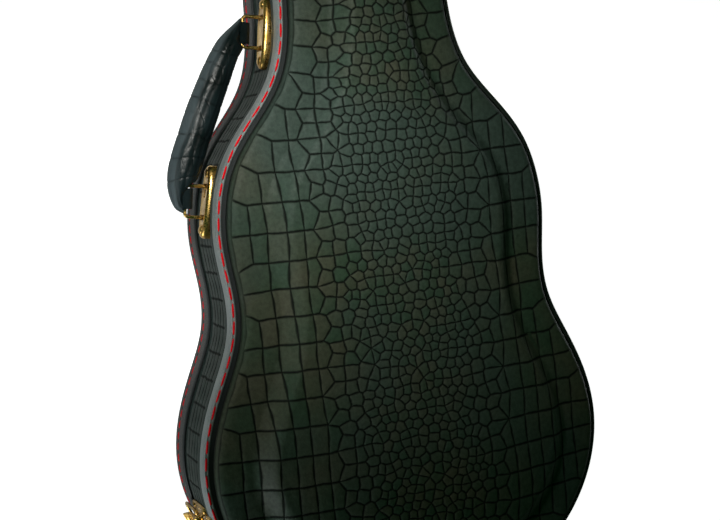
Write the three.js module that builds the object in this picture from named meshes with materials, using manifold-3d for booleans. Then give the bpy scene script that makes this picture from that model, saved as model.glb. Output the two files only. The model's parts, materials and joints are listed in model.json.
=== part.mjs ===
import * as THREE from 'three';
import { mergeVertices } from 'three/addons/utils/BufferGeometryUtils.js';
import Module from 'manifold-3d';

const wasm = await Module();
wasm.setup();

// Millimetres. The case lies on its back: +Z up through the lid, +Y towards the neck end, the handle at -X.
// The origin is on the flat back, below the widest part of the lower bout's centre line.

// Outline of the case, measured at the lid's edge band
const lowerBoutWidth = 262.6;
const waistWidth = 208.4;
const upperBoutWidth = 214.6;
const neckWidth = 108.2;
const headWidth = 118;
const tailY = -124;
const lowerBoutY = -12;
const waistY = 90;
const upperBoutY = 124;
const neckStartY = 282;
const neckEndY = 440;
const headY = 545;
const headCapLength = 66;

// Heights through the case
const backPadHeight = 4;
const baseDepth = 62;
const lidBandDepth = 14.7;
const panelEdgeRise = 7.6;
const shelfRise = 1.6;
const flankRise = 10.8;
const crownRise = 5.2;

// Walls and clearances
const seatGap = 0.3;
const seamGap = 0.3;
const rimWall = 6;
const rimInset = 1.5;
const overrun = 5;

// Edge bands, grooves and panels
const bandThickness = 1.2;
const bandStep = 1;
const rearBandHeight = 21.5;
const grooveHeight = 7.5;
const grooveDepth = 2.2;
const grooveSlope = 1;
const bandLip = 4.5;
const rearLip = 4;
const bandRound = 1.3;
const panelInset = 6;
const panelThickness = 5;
const panelFoot = 5;
const edgeRound = 4.4;
const shelfWidth = 15;
const flankWidth = 18;
const floorBoard = 5;

// Linings
const linerThickness = 2.6;
const linerStand = 6;
const paddingThickness = 6;
const paddingCrown = 1.6;
const floorPadding = 3.6;
const lidPadding = 3;
const lidPaddingDrop = 5;

// Neck cradle and accessory compartment
const cradleY = 292;
const cradleLength = 20;
const cradleHeight = 45;
const notchWidth = 50;
const notchDepth = 19;
const compartmentLength = 46;
const compartmentHeight = 20;
const compartmentBoard = 6;
const compartmentLidThickness = 3.4;
const compartmentPinDrop = 1.7;
const tabWidth = 14;
const tabLength = 16;
const tabThickness = 1.6;

// Handle
const handleZ = 57.5;
const upperPlateY = 247;
const lowerPlateY = 150;
const plateLength = 44;
const plateHeight = 15;
const plateProud = 3.4;
const plateEdge = 1.8;
const plateRivetSpacing = 34;
const ringWire = 1.1;
const ringWidth = 18.6;
const ringReach = 13;
const ringPivotHeight = 1.6;
const ringCorner = 2;
const ringTurnDegrees = 8;
const wireClearance = 0.5;
const slotHalf = 4.5;
const gripRadius = 9.6;
const gripBow = 7.8;
const armNotch = 3.6;
const armNotchRise = 2.2;

// Draw latches
const tailLatchY = -43;
const neckLatchY = 362;
const latchWidth = 24;
const latchPlateTop = 4;
const latchPlateBottom = 33;
const latchPlateThickness = 1.2;
const latchPlateCorner = 3;
const leverPivotDrop = 10;
const leverPivotOut = 5.2;
const leverPin = 1.2;
const leverWidth = 13;
const leverLength = 24;
const leverThickness = 1.5;
const leverLip = 4;
const earThickness = 1.2;
const earRadius = 3;
const loopWire = 1;
const loopDrop = 7;
const loopIn = 1.3;
const loopLength = 24.6;
const loopLegGap = 1.4;
const loopCorner = 1.6;
const catchThickness = 1.1;
const catchCorner = 2;
const catchWidth = 20;
const catchBottom = 3.2;
const catchTop = 13.2;
const hookReach = 4.8;
const hookThickness = 1.2;
const hookLip = 0.25;
const hookWidth = 12;
const loopClearance = 0.6;

// Hinges
const hingeLength = 26;
const hingeWire = 0.9;
const knuckleRadius = 1.8;
const knuckleSpans = 5;
const pinClearance = 0.2;
const pinHead = 1.5;
const pinHeadHeight = 0.8;
const leafThickness = 1;
const leafStart = 2.2;
const leafBaseHeight = 18;
const leafLidHeight = 7.4;
const hingeStandOff = 2.2;
const tailHingeY = 0;
const headHingeY = 540;

// Rivet heads
const rivetRadius = 2;
const rivetRise = 0.9;
const bigRivetRadius = 2.9;
const bigRivetRise = 1.3;
const rivetMargin = 3;

// Shares of the way between two named places, chosen by hand
const boutQuarterShares = [0.25, 0.5, 0.75];
const toWaistShares = [[0.314, 0.207], [0.559, 0.583], [0.804, 0.937]];
const shoulderShares = [[0.133, 0.026], [0.291, 0.164], [0.449, 0.481], [0.608, 0.82], [0.766, 0.955],
  [0.924, 0.99]];
const headFlareShares = [[0.35, 0.2], [0.7, 0.72]];
const headCapShares = [0.2, 0.45, 0.72];
const headSquareness = 2.5;
const neckMiddleShare = 0.5;
const flankShares = [[0, 0], [0.27, 0.08], [0.73, 0.92], [1, 1]];
const crownMiddleShare = 0.5;
const slantShare = 0.6;
const spineShare = 0.9;
const plateShares = [[0, 0.45], [0.35, 0.8], [1, 1]];
const plateSquareness = 2.5;
const gripPathShares = [[0, -0.55], [0, 0], [0.05, 0.4], [0.55, 0.75], [1.3, 0.88], [2.4, 0.97]];
const gripSizeShares = [[0.64, 0.31], [0.75, 0.56], [0.75, 0.68], [0.86, 0.8], [0.94, 0.94], [1, 1], [1, 1]];
const gripMiddleShare = 0.36;
const leverCurlShares = [[0, 0.6], [0.3, 0.86], [1, 1]];
const leafRivetShare = 0.62;
const rivetShoulderShare = 0.75;

// How far the middle of a rounded corner lies in from its point, as a share of the radius
const roundShare = 1 - Math.SQRT1_2;

// Fineness of the outline and of the round forms
const samplesPerSpan = 16;
const halfOutlineSteps = 31;
const ovalSides = 24;
const gripSides = 14;
const bendLength = 90;

// Heights and lines that follow from the sizes above
const headEndY = headY + headCapLength;
const seamZ = backPadHeight + baseDepth;
const lidZ = seamZ + seamGap;
const frontZ = lidZ + lidBandDepth;
const floorZ = backPadHeight + floorBoard;
const panelZ = frontZ - bandThickness;
const edgeZ = frontZ + panelEdgeRise;
const shelfZ = edgeZ + shelfRise;
const flankZ = shelfZ + flankRise;
const innerInset = rimInset + rimWall;
const linerInset = innerInset + seatGap;
const paddingInset = linerInset + linerThickness + seatGap;
const paddedInset = paddingInset + paddingThickness;
const floorPadZ = floorZ + seatGap;
const softFloorZ = floorPadZ + floorPadding;
const shelfInset = panelInset + edgeRound;
const flankStart = shelfInset + shelfWidth;
const flankEnd = flankStart + flankWidth;

const leatherette = { color: 0x2c3634, roughness: 0.55, metalness: 0 };
const bandLeather = { color: 0x5b6163, roughness: 0.5, metalness: 0 };
const gripLeather = { color: 0x171f22, roughness: 0.25, metalness: 0 };
const brass = { color: 0xb98f45, roughness: 0.3, metalness: 1 };
const plush = { color: 0x3b0d16, roughness: 0.95, metalness: 0 };
const plywood = { color: 0xb89467, roughness: 0.8, metalness: 0 };

const root = new THREE.Group();

function piece(name, geometry, look, parent = root) {
  const mesh = new THREE.Mesh(geometry, new THREE.MeshStandardMaterial(look));
  mesh.name = name;
  parent.add(mesh);
  return mesh;
}

// One closed body from points and triangles: doubles merged, slivers of zero area dropped, faces outward
function closedBody(points, triangles) {
  const raw = new THREE.BufferGeometry();
  raw.setAttribute('position', new THREE.Float32BufferAttribute(points.flat(), 3));
  raw.setIndex(triangles.flat());
  const merged = mergeVertices(raw);
  const index = merged.getIndex().array;
  const kept = [];
  for (let i = 0; i < index.length; i += 3) {
    const [a, b, c] = [index[i], index[i + 1], index[i + 2]];
    if (a !== b && b !== c && c !== a) kept.push([a, b, c]);
  }
  const at = (i) => new THREE.Vector3().fromBufferAttribute(merged.getAttribute('position'), i);
  const volume = kept.reduce((sum, [a, b, c]) => sum + at(a).dot(at(b).cross(at(c))), 0);
  merged.setIndex(volume < 0 ? kept.map(([a, b, c]) => [a, c, b]).flat() : kept.flat());
  return merged;
}

// Joins closed rings of equal length one after the other; the last meets the first, or both ends are capped
function loft(rings, wrap = false) {
  const count = rings[0].length;
  const triangles = [];
  const spans = wrap ? rings.length : rings.length - 1;
  for (let r = 0; r < spans; r += 1) {
    const low = r * count;
    const high = ((r + 1) % rings.length) * count;
    for (let i = 0; i < count; i += 1) {
      const j = (i + 1) % count;
      triangles.push([low + i, low + j, high + j], [low + i, high + j, high + i]);
    }
  }
  if (!wrap) {
    capRing(rings[0], 0, true, triangles);
    capRing(rings[rings.length - 1], (rings.length - 1) * count, false, triangles);
  }
  return closedBody(rings.flat(), triangles);
}

// Fills a ring with triangles in the plane that it faces most, turned like the ring or against it
function capRing(ring, first, flip, triangles) {
  const normal = new THREE.Vector3();
  const points = ring.map((p) => new THREE.Vector3(...p));
  points.forEach((p, i) => normal.add(p.clone().cross(points[(i + 1) % points.length])));
  const faced = [Math.abs(normal.x), Math.abs(normal.y), Math.abs(normal.z)];
  const [u, v] = [['y', 'z'], ['z', 'x'], ['x', 'y']][faced.indexOf(Math.max(...faced))];
  const flat = points.map((p) => new THREE.Vector2(p[u], p[v]));
  const ringTurn = Math.sign(THREE.ShapeUtils.area(flat));
  for (const corners of THREE.ShapeUtils.triangulateShape(flat, [])) {
    const turn = Math.sign(THREE.ShapeUtils.area(corners.map((k) => flat[k])));
    const ordered = (turn === ringTurn) === flip ? [...corners].reverse() : corners;
    triangles.push(ordered.map((k) => first + k));
  }
}

// Solids for cutting and joining
function toManifold(geometry) {
  const bare = geometry.clone();
  bare.deleteAttribute('normal');
  bare.deleteAttribute('uv');
  const merged = mergeVertices(bare);
  return new wasm.Manifold(new wasm.Mesh({
    numProp: 3,
    vertProperties: new Float32Array(merged.getAttribute('position').array),
    triVerts: new Uint32Array(merged.getIndex().array),
  }));
}

function fromManifold(solid) {
  const mesh = solid.getMesh();
  const geometry = new THREE.BufferGeometry();
  geometry.setAttribute('position', new THREE.Float32BufferAttribute(mesh.vertProperties, 3));
  geometry.setIndex(Array.from(mesh.triVerts));
  return geometry;
}

function join(...geometries) {
  return fromManifold(geometries.map(toManifold).reduce((a, b) => a.add(b)));
}

function cut(geometry, ...tools) {
  return fromManifold(tools.map(toManifold).reduce((a, b) => a.subtract(b), toManifold(geometry)));
}

// Simple shapes
function box(low, high) {
  const size = high.map((value, i) => value - low[i]);
  const middle = high.map((value, i) => (value + low[i]) / 2);
  return new THREE.BoxGeometry(...size).translate(...middle);
}

function rod(radius, low, high, sides) {
  const cylinder = new THREE.CylinderGeometry(radius, radius, high - low, sides);
  return cylinder.rotateZ(-Math.PI / 2).translate((high + low) / 2, 0, 0);
}

// A low domed head standing on the plane y = 0, facing +Y
function rivetHead(radius, rise) {
  const profile = [[0, -rise], [radius, -rise], [radius, 0], [radius * Math.SQRT1_2, rise * rivetShoulderShare],
    [0, rise]];
  const dome = new THREE.LatheGeometry(profile.map(([x, y]) => new THREE.Vector2(x, y)), 8);
  return closedBody(pointsOf(dome), trianglesOf(dome));
}

function pointsOf(geometry) {
  const position = geometry.getAttribute('position');
  return Array.from({ length: position.count }, (_, i) => [position.getX(i), position.getY(i), position.getZ(i)]);
}

function trianglesOf(geometry) {
  const index = geometry.getIndex().array;
  return Array.from({ length: index.length / 3 }, (_, i) => Array.from(index.slice(3 * i, 3 * i + 3)));
}

// A profile in the y-z plane, given its width along x
function extrudeAlongX(profile, low, high) {
  return loft([low, high].map((x) => profile.map(([y, z]) => [x, y, z])));
}

// A rounded rectangle in the x-z plane, standing from y = low to y = high
function roundedPlate(halfX, lowZ, highZ, corner, low, high) {
  const shape = [];
  const centres = [[halfX - corner, highZ - corner], [corner - halfX, highZ - corner],
    [corner - halfX, lowZ + corner], [halfX - corner, lowZ + corner]];
  centres.forEach(([x, z], quarter) => {
    for (let step = 0; step <= 2; step += 1) {
      const angle = (quarter + step / 2) * Math.PI / 2;
      shape.push([x + corner * Math.cos(angle), z + corner * Math.sin(angle)]);
    }
  });
  return loft([low, high].map((y) => shape.map(([x, z]) => [x, y, z])));
}

// A round wire along points; the ends meet or are cut square
function wire(points, radius, sides, wrap) {
  const at = points.map((p) => new THREE.Vector3(...p));
  const count = at.length;
  const rings = at.map((p, i) => {
    const before = wrap ? at[(i + count - 1) % count] : at[Math.max(i - 1, 0)];
    const after = wrap ? at[(i + 1) % count] : at[Math.min(i + 1, count - 1)];
    const along = p.clone().sub(before).normalize().add(after.clone().sub(p).normalize()).normalize();
    const widen = 1 / Math.max(along.dot(after.clone().sub(before).normalize()), 0.5);
    const across = new THREE.Vector3(0, 0, 1);
    if (Math.abs(along.z) > 0.5) across.set(0, 1, 0);
    across.addScaledVector(along, -across.dot(along)).normalize();
    const side = along.clone().cross(across);
    return Array.from({ length: sides }, (_, k) => {
      const angle = k * 2 * Math.PI / sides;
      return p.clone().addScaledVector(across, radius * Math.cos(angle))
        .addScaledVector(side, radius * widen * Math.sin(angle)).toArray();
    });
  });
  return loft(rings, wrap);
}

// The outline of the case

// Right-hand half of the outline, tail to head: the places that its curve passes through
function outlineStations() {
  const half = { lower: lowerBoutWidth / 2, waist: waistWidth / 2, upper: upperBoutWidth / 2,
    neck: neckWidth / 2, head: headWidth / 2 };
  const between = (shares, x0, y0, x1, y1) => shares.map(([along, across]) => [
    x0 + across * (x1 - x0), y0 + along * (y1 - y0)]);
  const tail = [0, ...boutQuarterShares].map((share) => {
    const angle = share * Math.PI / 2;
    return [half.lower * Math.sin(angle), lowerBoutY - (lowerBoutY - tailY) * Math.cos(angle)];
  });
  const cap = headCapShares.map((share) => {
    const angle = share * Math.PI / 2;
    const power = 2 / headSquareness;
    return [half.head * Math.cos(angle) ** power, headY + (headEndY - headY) * Math.sin(angle) ** power];
  });
  return [
    ...tail,
    [half.lower, lowerBoutY],
    ...between(toWaistShares, half.lower, lowerBoutY, half.waist, waistY),
    [half.waist, waistY],
    [half.upper, upperBoutY],
    ...between(shoulderShares, half.upper, upperBoutY, half.neck, neckStartY),
    [half.neck, neckStartY],
    [half.neck, neckStartY + neckMiddleShare * (neckEndY - neckStartY)],
    [half.neck, neckEndY],
    ...between(headFlareShares, half.neck, neckEndY, half.head, headY),
    [half.head, headY],
    ...cap,
    [0, headEndY],
  ];
}

// A closed curve with smooth bends through the stations: a periodic cubic spline, sampled finely
function smoothLoop(stations) {
  const count = stations.length;
  const wrap = (i) => (i + count) % count;
  const step = stations.map((p, i) => Math.hypot(
    stations[wrap(i + 1)][0] - p[0], stations[wrap(i + 1)][1] - p[1]));
  const bend = stations.map(() => [0, 0]);
  for (let sweep = 0; sweep < 80; sweep += 1) {
    for (let i = 0; i < count; i += 1) {
      const [h0, h1] = [step[wrap(i - 1)], step[i]];
      for (const axis of [0, 1]) {
        const slopes = (stations[wrap(i + 1)][axis] - stations[i][axis]) / h1
          - (stations[i][axis] - stations[wrap(i - 1)][axis]) / h0;
        const sides = h0 * bend[wrap(i - 1)][axis] + h1 * bend[wrap(i + 1)][axis];
        bend[i][axis] = (6 * slopes - sides) / (2 * (h0 + h1));
      }
    }
  }
  const curve = [];
  for (let i = 0; i < count; i += 1) {
    for (let k = 0; k < samplesPerSpan; k += 1) {
      const b = k / samplesPerSpan;
      const a = 1 - b;
      const h = step[i];
      curve.push([0, 1].map((axis) => a * stations[i][axis] + b * stations[wrap(i + 1)][axis]
        + ((a ** 3 - a) * bend[i][axis] + (b ** 3 - b) * bend[wrap(i + 1)][axis]) * h * h / 6));
    }
  }
  return curve;
}

// The outline's corners, closer together where the curve bends, the same on both sides
function outlineCorners() {
  const right = outlineStations();
  const left = right.slice(1, -1).reverse().map(([x, y]) => [-x, y]);
  const curve = smoothLoop([...right, ...left]);
  const halfCount = (right.length - 1) * samplesPerSpan;
  const half = curve.slice(0, halfCount + 1);
  half[0][0] = 0;
  half[halfCount][0] = 0;
  const weight = [0];
  for (let i = 1; i <= halfCount; i += 1) {
    const length = Math.hypot(half[i][0] - half[i - 1][0], half[i][1] - half[i - 1][1]);
    const [before, after] = [half[Math.max(i - 2, 0)], half[Math.min(i + 1, halfCount)]];
    const turnIn = Math.atan2(half[i - 1][1] - before[1], half[i - 1][0] - before[0]);
    const turnOut = Math.atan2(after[1] - half[i][1], after[0] - half[i][0]);
    const turn = i > 1 && i < halfCount ? Math.abs(Math.atan2(Math.sin(turnOut - turnIn),
      Math.cos(turnOut - turnIn))) / 2 : 0;
    weight.push(weight[i - 1] + length + bendLength * turn);
  }
  const corners = [];
  for (let k = 0; k <= halfOutlineSteps; k += 1) {
    const wanted = weight[halfCount] * k / halfOutlineSteps;
    let i = 1;
    while (i < halfCount && weight[i] < wanted) i += 1;
    const f = (wanted - weight[i - 1]) / (weight[i] - weight[i - 1]);
    corners.push([0, 1].map((axis) => half[i - 1][axis] + f * (half[i][axis] - half[i - 1][axis])));
  }
  corners[0][0] = 0;
  corners[halfOutlineSteps][0] = 0;
  return [...corners, ...corners.slice(1, -1).reverse().map(([x, y]) => [-x, y])];
}

const corners = outlineCorners();
const cornerCount = corners.length;

// Inward step at each corner that keeps the offset sides parallel
const inward = corners.map((p, i) => {
  const before = corners[(i + cornerCount - 1) % cornerCount];
  const after = corners[(i + 1) % cornerCount];
  const normal = (from, to) => new THREE.Vector2(from[1] - to[1], to[0] - from[0]).normalize();
  const [n0, n1] = [normal(before, p), normal(p, after)];
  return n0.clone().add(n1).divideScalar(1 + n0.dot(n1));
});

function ring(inset, z) {
  return corners.map(([x, y], i) => [x + inward[i].x * inset, y + inward[i].y * inset, z]);
}

// A body all round the case with the given profile of insets and heights
function hoop(profile) {
  return loft(profile.map(([inset, z]) => ring(inset, z)), true);
}

// Half the width of the outline at a place along the case
function halfWidthAt(y) {
  return wallPoint(1, y, 0).x;
}

// The wall at a place along the case, on one side, at an inset from the outline
function wallPoint(side, y, inset) {
  const line = ring(inset, 0).slice(0, halfOutlineSteps + 1);
  for (let i = 1; i < line.length; i += 1) {
    const [low, high] = [line[i - 1], line[i]];
    if (y >= low[1] && y <= high[1]) {
      const f = (y - low[1]) / (high[1] - low[1]);
      return new THREE.Vector2(side * (low[0] + f * (high[0] - low[0])), y);
    }
  }
  return new THREE.Vector2(0, y);
}

// Arched forms: rings that keep their inset to the flank's start, then run in towards the centre line
function archPoint(i, inset) {
  const edge = Math.min(inset, flankStart);
  const from = new THREE.Vector2(corners[i][0], corners[i][1]).addScaledVector(inward[i], edge);
  if (inset <= flankStart) return from;
  const spine = new THREE.Vector2(0, THREE.MathUtils.clamp(from.y, lowerBoutY, headY));
  const way = spine.clone().sub(from);
  const slant = Math.max(way.clone().normalize().dot(inward[i].clone().normalize()), slantShare);
  const share = Math.min((inset - flankStart) / slant / way.length(), spineShare);
  return from.addScaledVector(way, share);
}

function archRing(inset, z) {
  return corners.map((_, i) => {
    const at = archPoint(i, inset);
    return [at.x, at.y, z];
  });
}

// Height of the crown above the flank on the centre line, less where the case is narrow
function crownAt(y) {
  return crownRise * (halfWidthAt(y) - flankEnd) / (lowerBoutWidth / 2 - flankEnd);
}

function crownRing(share, z) {
  return corners.map((_, i) => {
    const at = archPoint(i, flankEnd);
    const spine = new THREE.Vector2(0, THREE.MathUtils.clamp(at.y, lowerBoutY, headY));
    at.lerp(spine, share);
    return [at.x, at.y, z + crownAt(spine.y) * (1 - (1 - share) ** 2)];
  });
}

// The arched surface from its edge to the centre line, dropped by a thickness
function archSurface(drop, step) {
  const flank = flankShares.map(([across, up]) => archRing(
    flankStart + step + across * (flankWidth - step), shelfZ - drop + up * flankRise));
  return [...flank, crownRing(crownMiddleShare, flankZ - drop), crownRing(1, flankZ - drop)];
}

// Base

function makeBase() {
  const rebate = bandThickness + seatGap;
  const bandInset = bandStep;
  const bandTop = backPadHeight + rearBandHeight;
  const grooveTop = bandTop + grooveHeight;
  piece('base_rim', hoop([
    [bandInset + rebate, backPadHeight + rebate],
    [bandInset + rebate, bandTop],
    [rimInset + grooveDepth, bandTop + grooveSlope],
    [rimInset + grooveDepth, grooveTop - grooveSlope],
    [rimInset, grooveTop],
    [rimInset, seamZ],
    [innerInset, seamZ],
    [innerInset, backPadHeight + rebate],
  ]), leatherette);
  piece('rear_band', hoop([
    [bandInset, bandTop],
    [bandInset, backPadHeight + bandRound],
    [bandInset + bandRound, backPadHeight],
    [bandInset + rearLip, backPadHeight],
    [bandInset + rearLip, backPadHeight + bandThickness],
    [bandInset + bandThickness, backPadHeight + bandThickness],
    [bandInset + bandThickness, bandTop],
  ]), bandLeather);
  const padInset = bandInset + rearLip + bandStep;
  piece('back_panel', loft([
    ring(padInset + backPadHeight, 0),
    ring(padInset, backPadHeight - grooveSlope),
    ring(padInset, backPadHeight + bandThickness),
    ring(innerInset + seatGap, backPadHeight + bandThickness),
    ring(innerInset + seatGap, floorZ),
  ]), leatherette);
}

function makeLinings() {
  piece('base_liner', hoop([
    [linerInset, floorPadZ],
    [linerInset, seamZ + linerStand],
    [linerInset + linerThickness, seamZ + linerStand],
    [linerInset + linerThickness, floorPadZ],
  ]), plush);
  piece('floor_padding', loft([
    ring(paddingInset, floorPadZ),
    ring(paddingInset, softFloorZ - paddingCrown),
    ring(paddingInset + paddingCrown, softFloorZ),
  ]), plush);
  const low = softFloorZ + seatGap;
  piece('side_padding', hoop([
    [paddingInset, low],
    [paddingInset, seamZ - paddingCrown],
    [paddingInset + paddingThickness / 2, seamZ],
    [paddedInset - paddingCrown / 2, seamZ - paddingThickness / 2],
    [paddedInset, (low + seamZ) / 2],
    [paddedInset - paddingCrown / 2, low],
  ]), plush);
}

// Half the clear width between the padded walls over a stretch along the case
function clearHalfWidth(y0, y1) {
  const between = ring(paddedInset, 0).filter(([x, y]) => x > 0 && y > y0 && y < y1).map(([x]) => x);
  return Math.min(wallPoint(1, y0, paddedInset).x, wallPoint(1, y1, paddedInset).x, ...between) - seatGap;
}

function makeCradleAndCompartment() {
  const low = softFloorZ + seatGap;
  const boxY = cradleY + cradleLength;
  const boxEndY = boxY + compartmentLength;
  const half = clearHalfWidth(cradleY, boxEndY + compartmentBoard);
  const top = low + cradleHeight;
  const notch = [];
  for (let step = 0; step <= 8; step += 1) {
    const angle = Math.PI * (1 + step / 8);
    notch.push([notchWidth / 2 * Math.cos(angle), top + notchDepth * Math.sin(angle)]);
  }
  const profile = [[-half, low], [half, low], [half, top - paddingCrown], [half - paddingCrown, top],
    ...notch.reverse(), [paddingCrown - half, top], [-half, top - paddingCrown]];
  piece('neck_cradle', loft([cradleY, boxY].map((y) => profile.map(([x, z]) => [x, y, z]))), plush);

  const ledge = low + compartmentHeight;
  piece('compartment_wall', box([-half, boxEndY, low], [half, boxEndY + compartmentBoard, ledge
    + compartmentLidThickness]), plush);

  // Hinged along the cradle, its pin line inside the board's thickness
  const lid = new THREE.Group();
  lid.position.set(0, boxY + seatGap + compartmentPinDrop, ledge + compartmentPinDrop);
  root.add(lid);
  const reach = compartmentLength - 2 * seatGap - compartmentPinDrop;
  const round = [[0, -compartmentPinDrop]];
  for (let step = 1; step <= 6; step += 1) {
    const angle = -Math.PI / 2 - step * Math.PI / 6;
    round.push([compartmentPinDrop * Math.cos(angle), compartmentPinDrop * Math.sin(angle)]);
  }
  const board = [...round.reverse(), [reach, -compartmentPinDrop],
    [reach, compartmentLidThickness - compartmentPinDrop]];
  const rests = half - seatGap;
  piece('compartment_lid', extrudeAlongX(board, -rests, rests), plush, lid);
  const tabZ = compartmentLidThickness - compartmentPinDrop + seatGap;
  piece('compartment_tab', roundedPlateFlat(tabWidth / 2, reach - tabLength, reach - seatGap,
    tabWidth / 4, tabZ, tabZ + tabThickness), gripLeather, lid);
}

// A rounded rectangle lying in the x-y plane
function roundedPlateFlat(halfX, lowY, highY, corner, low, high) {
  return roundedPlate(halfX, lowY, highY, corner, -high, -low).applyMatrix4(
    new THREE.Matrix4().makeBasis(new THREE.Vector3(1, 0, 0), new THREE.Vector3(0, 0, -1),
      new THREE.Vector3(0, 1, 0)));
}

// Lid

function makeLid() {
  piece('lid_frame', hoop([
    [rimInset, lidZ],
    [rimInset, panelZ - seatGap],
    [innerInset, panelZ - seatGap],
    [innerInset, lidZ],
  ]), plywood);
  piece('lid_band', hoop([
    [0, lidZ],
    [0, frontZ - bandRound],
    [bandRound, frontZ],
    [bandLip, frontZ],
    [bandLip, frontZ - bandThickness + seatGap],
    [bandThickness, frontZ - bandThickness + seatGap],
    [bandThickness, lidZ],
  ]), bandLeather);
  const outer = [
    ring(panelInset, panelZ),
    ring(panelInset, edgeZ - edgeRound),
    ring(panelInset + edgeRound * roundShare, edgeZ - edgeRound * roundShare),
    ring(shelfInset, edgeZ),
    ...archSurface(0, 0),
  ];
  const innerEdge = panelInset + panelFoot;
  const under = archSurface(panelThickness, panelThickness / 2);
  const inner = [ring(innerEdge + seatGap, edgeZ - panelThickness), ring(innerEdge, panelZ)];
  piece('lid_panel', loft([...outer, ...under.reverse(), ...inner], true), leatherette);
  makeLidPadding(innerEdge);
}

function makeLidPadding(innerEdge) {
  const gap = 2 * seatGap;
  const upper = archSurface(panelThickness + gap, panelThickness / 2 + gap);
  const lower = archSurface(panelThickness + gap + lidPadding, panelThickness / 2 + lidPadding);
  const edge = innerEdge + gap;
  const top = edgeZ - panelThickness - gap;
  const low = top - lidPaddingDrop;
  piece('lid_padding', loft([
    ring(edge, low), ring(edge, top), ...upper, ...lower.reverse(),
    ring(edge + lidPadding, top - lidPadding), ring(edge + lidPadding, low),
  ], true), plush);
}

// Hardware on the walls

// Blocks that fill the walls, one seat gap proud of them: what is riveted on is cut to fit them
const baseBlock = hoop([[rimInset - seatGap, backPadHeight + rearBandHeight], [rimInset - seatGap, seamZ],
  [innerInset + overrun, seamZ], [innerInset + overrun, backPadHeight + rearBandHeight]]);
const lidBlock = hoop([[-seatGap, lidZ - seamGap], [-seatGap, frontZ + overrun],
  [innerInset + overrun, frontZ + overrun], [innerInset + overrun, lidZ - seamGap]]);

function seated(geometry, group, block) {
  group.updateMatrixWorld(true);
  const local = block.clone().applyMatrix4(group.matrixWorld.clone().invert());
  return cut(geometry, local);
}

// A frame on the wall: x along the wall, y outward, z up, its origin where the outermost wall corner lies
function wallSeat(side, y, half, inset, z) {
  const low = wallPoint(side, y - half, inset);
  const high = wallPoint(side, y + half, inset);
  const along = high.clone().sub(low).normalize().multiplyScalar(-side);
  const out = new THREE.Vector2(-along.y, along.x);
  const middle = wallPoint(side, y, inset);
  const line = ring(inset, 0).filter((p) => Math.sign(p[0]) === side && Math.abs(p[1] - y) < half);
  const reach = Math.max(...line.map((p) => out.dot(new THREE.Vector2(p[0], p[1]))),
    out.dot(low), out.dot(high), out.dot(middle));
  middle.addScaledVector(out, reach - out.dot(middle));
  const group = new THREE.Group();
  group.position.set(middle.x, middle.y, z);
  group.rotation.z = Math.atan2(along.y, along.x);
  root.add(group);
  return group;
}

function endSeat(inset, z) {
  const group = new THREE.Group();
  group.position.set(0, headEndY - inset, z);
  root.add(group);
  return group;
}

// Handle

// An oval stamping with rounded flanks and a flat top, slotted for the ring's two arms
function handlePlate(group, turn) {
  const ovalAt = (shrink, y) => Array.from({ length: ovalSides }, (_, k) => {
    const angle = k * 2 * Math.PI / ovalSides;
    const power = (value) => Math.sign(value) * Math.abs(value) ** (2 / plateSquareness);
    return [(plateLength / 2 - shrink) * power(Math.cos(angle)), y,
      (plateHeight / 2 - shrink) * power(Math.sin(angle))];
  });
  const dome = loft([ovalAt(0, -overrun),
    ...plateShares.map(([across, up]) => ovalAt(across * plateEdge, up * plateProud))]);
  const rivets = [-1, 1].map((end) => rivetHead(bigRivetRadius, bigRivetRise)
    .translate(end * plateRivetSpacing / 2, plateProud, 0));
  const free = ringWire + wireClearance;
  const half = ringWidth / 2 + ringWire + wireClearance;
  // The channel is higher than the bar, because the ring's rounded corners turn in it too
  const high = free + ringCorner / 4;
  const channel = box([-half, -overrun, -high], [half, ringPivotHeight + free, high]).rotateZ(turn);
  const slots = [-1, 1].map((end) => box([end * ringWidth / 2 - free, ringPivotHeight - free, -slotHalf],
    [end * ringWidth / 2 + free, plateProud + overrun, slotHalf]).rotateZ(turn));
  return cut(seated(join(dome, ...rivets), group, baseBlock), channel, ...slots);
}

// A closed rectangle of wire, turning about its inner bar
function handleRing() {
  const points = [];
  const half = ringWidth / 2;
  const arc = (x, y, start) => {
    for (let step = 0; step <= 2; step += 1) {
      const angle = start + step * Math.PI / 4;
      points.push([x + ringCorner * Math.cos(angle), y + ringCorner * Math.sin(angle), 0]);
    }
  };
  arc(half - ringCorner, ringReach - ringCorner, 0);
  arc(ringCorner - half, ringReach - ringCorner, Math.PI / 2);
  arc(ringCorner - half, ringCorner, Math.PI);
  arc(half - ringCorner, ringCorner, 3 * Math.PI / 2);
  return wire(points, ringWire, 8, true);
}

// The padded grip in the frame of its chord: x from the lower ring's bar to the upper one, y outward
function gripBody(chord) {
  const half = gripPathShares.map(([x, y]) => [x * gripRadius, y * gripBow]);
  half.push([gripMiddleShare * chord, gripBow]);
  const line = [...half, ...half.map(([x, y]) => [chord - x, y]).reverse()]
    .map(([x, y]) => new THREE.Vector3(x, y, 0));
  const sizes = [...gripSizeShares, ...[...gripSizeShares].reverse()];
  const rings = line.map((p, i) => {
    const before = line[Math.max(i - 1, 0)];
    const after = line[Math.min(i + 1, line.length - 1)];
    const along = after.clone().sub(before).normalize();
    const across = new THREE.Vector3(-along.y, along.x, 0);
    return Array.from({ length: gripSides }, (_, k) => {
      const angle = k * 2 * Math.PI / gripSides;
      return p.clone().addScaledVector(across, sizes[i][0] * gripRadius * Math.cos(angle))
        .add(new THREE.Vector3(0, 0, sizes[i][1] * gripRadius * Math.sin(angle))).toArray();
    });
  });
  return loft(rings);
}

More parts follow.
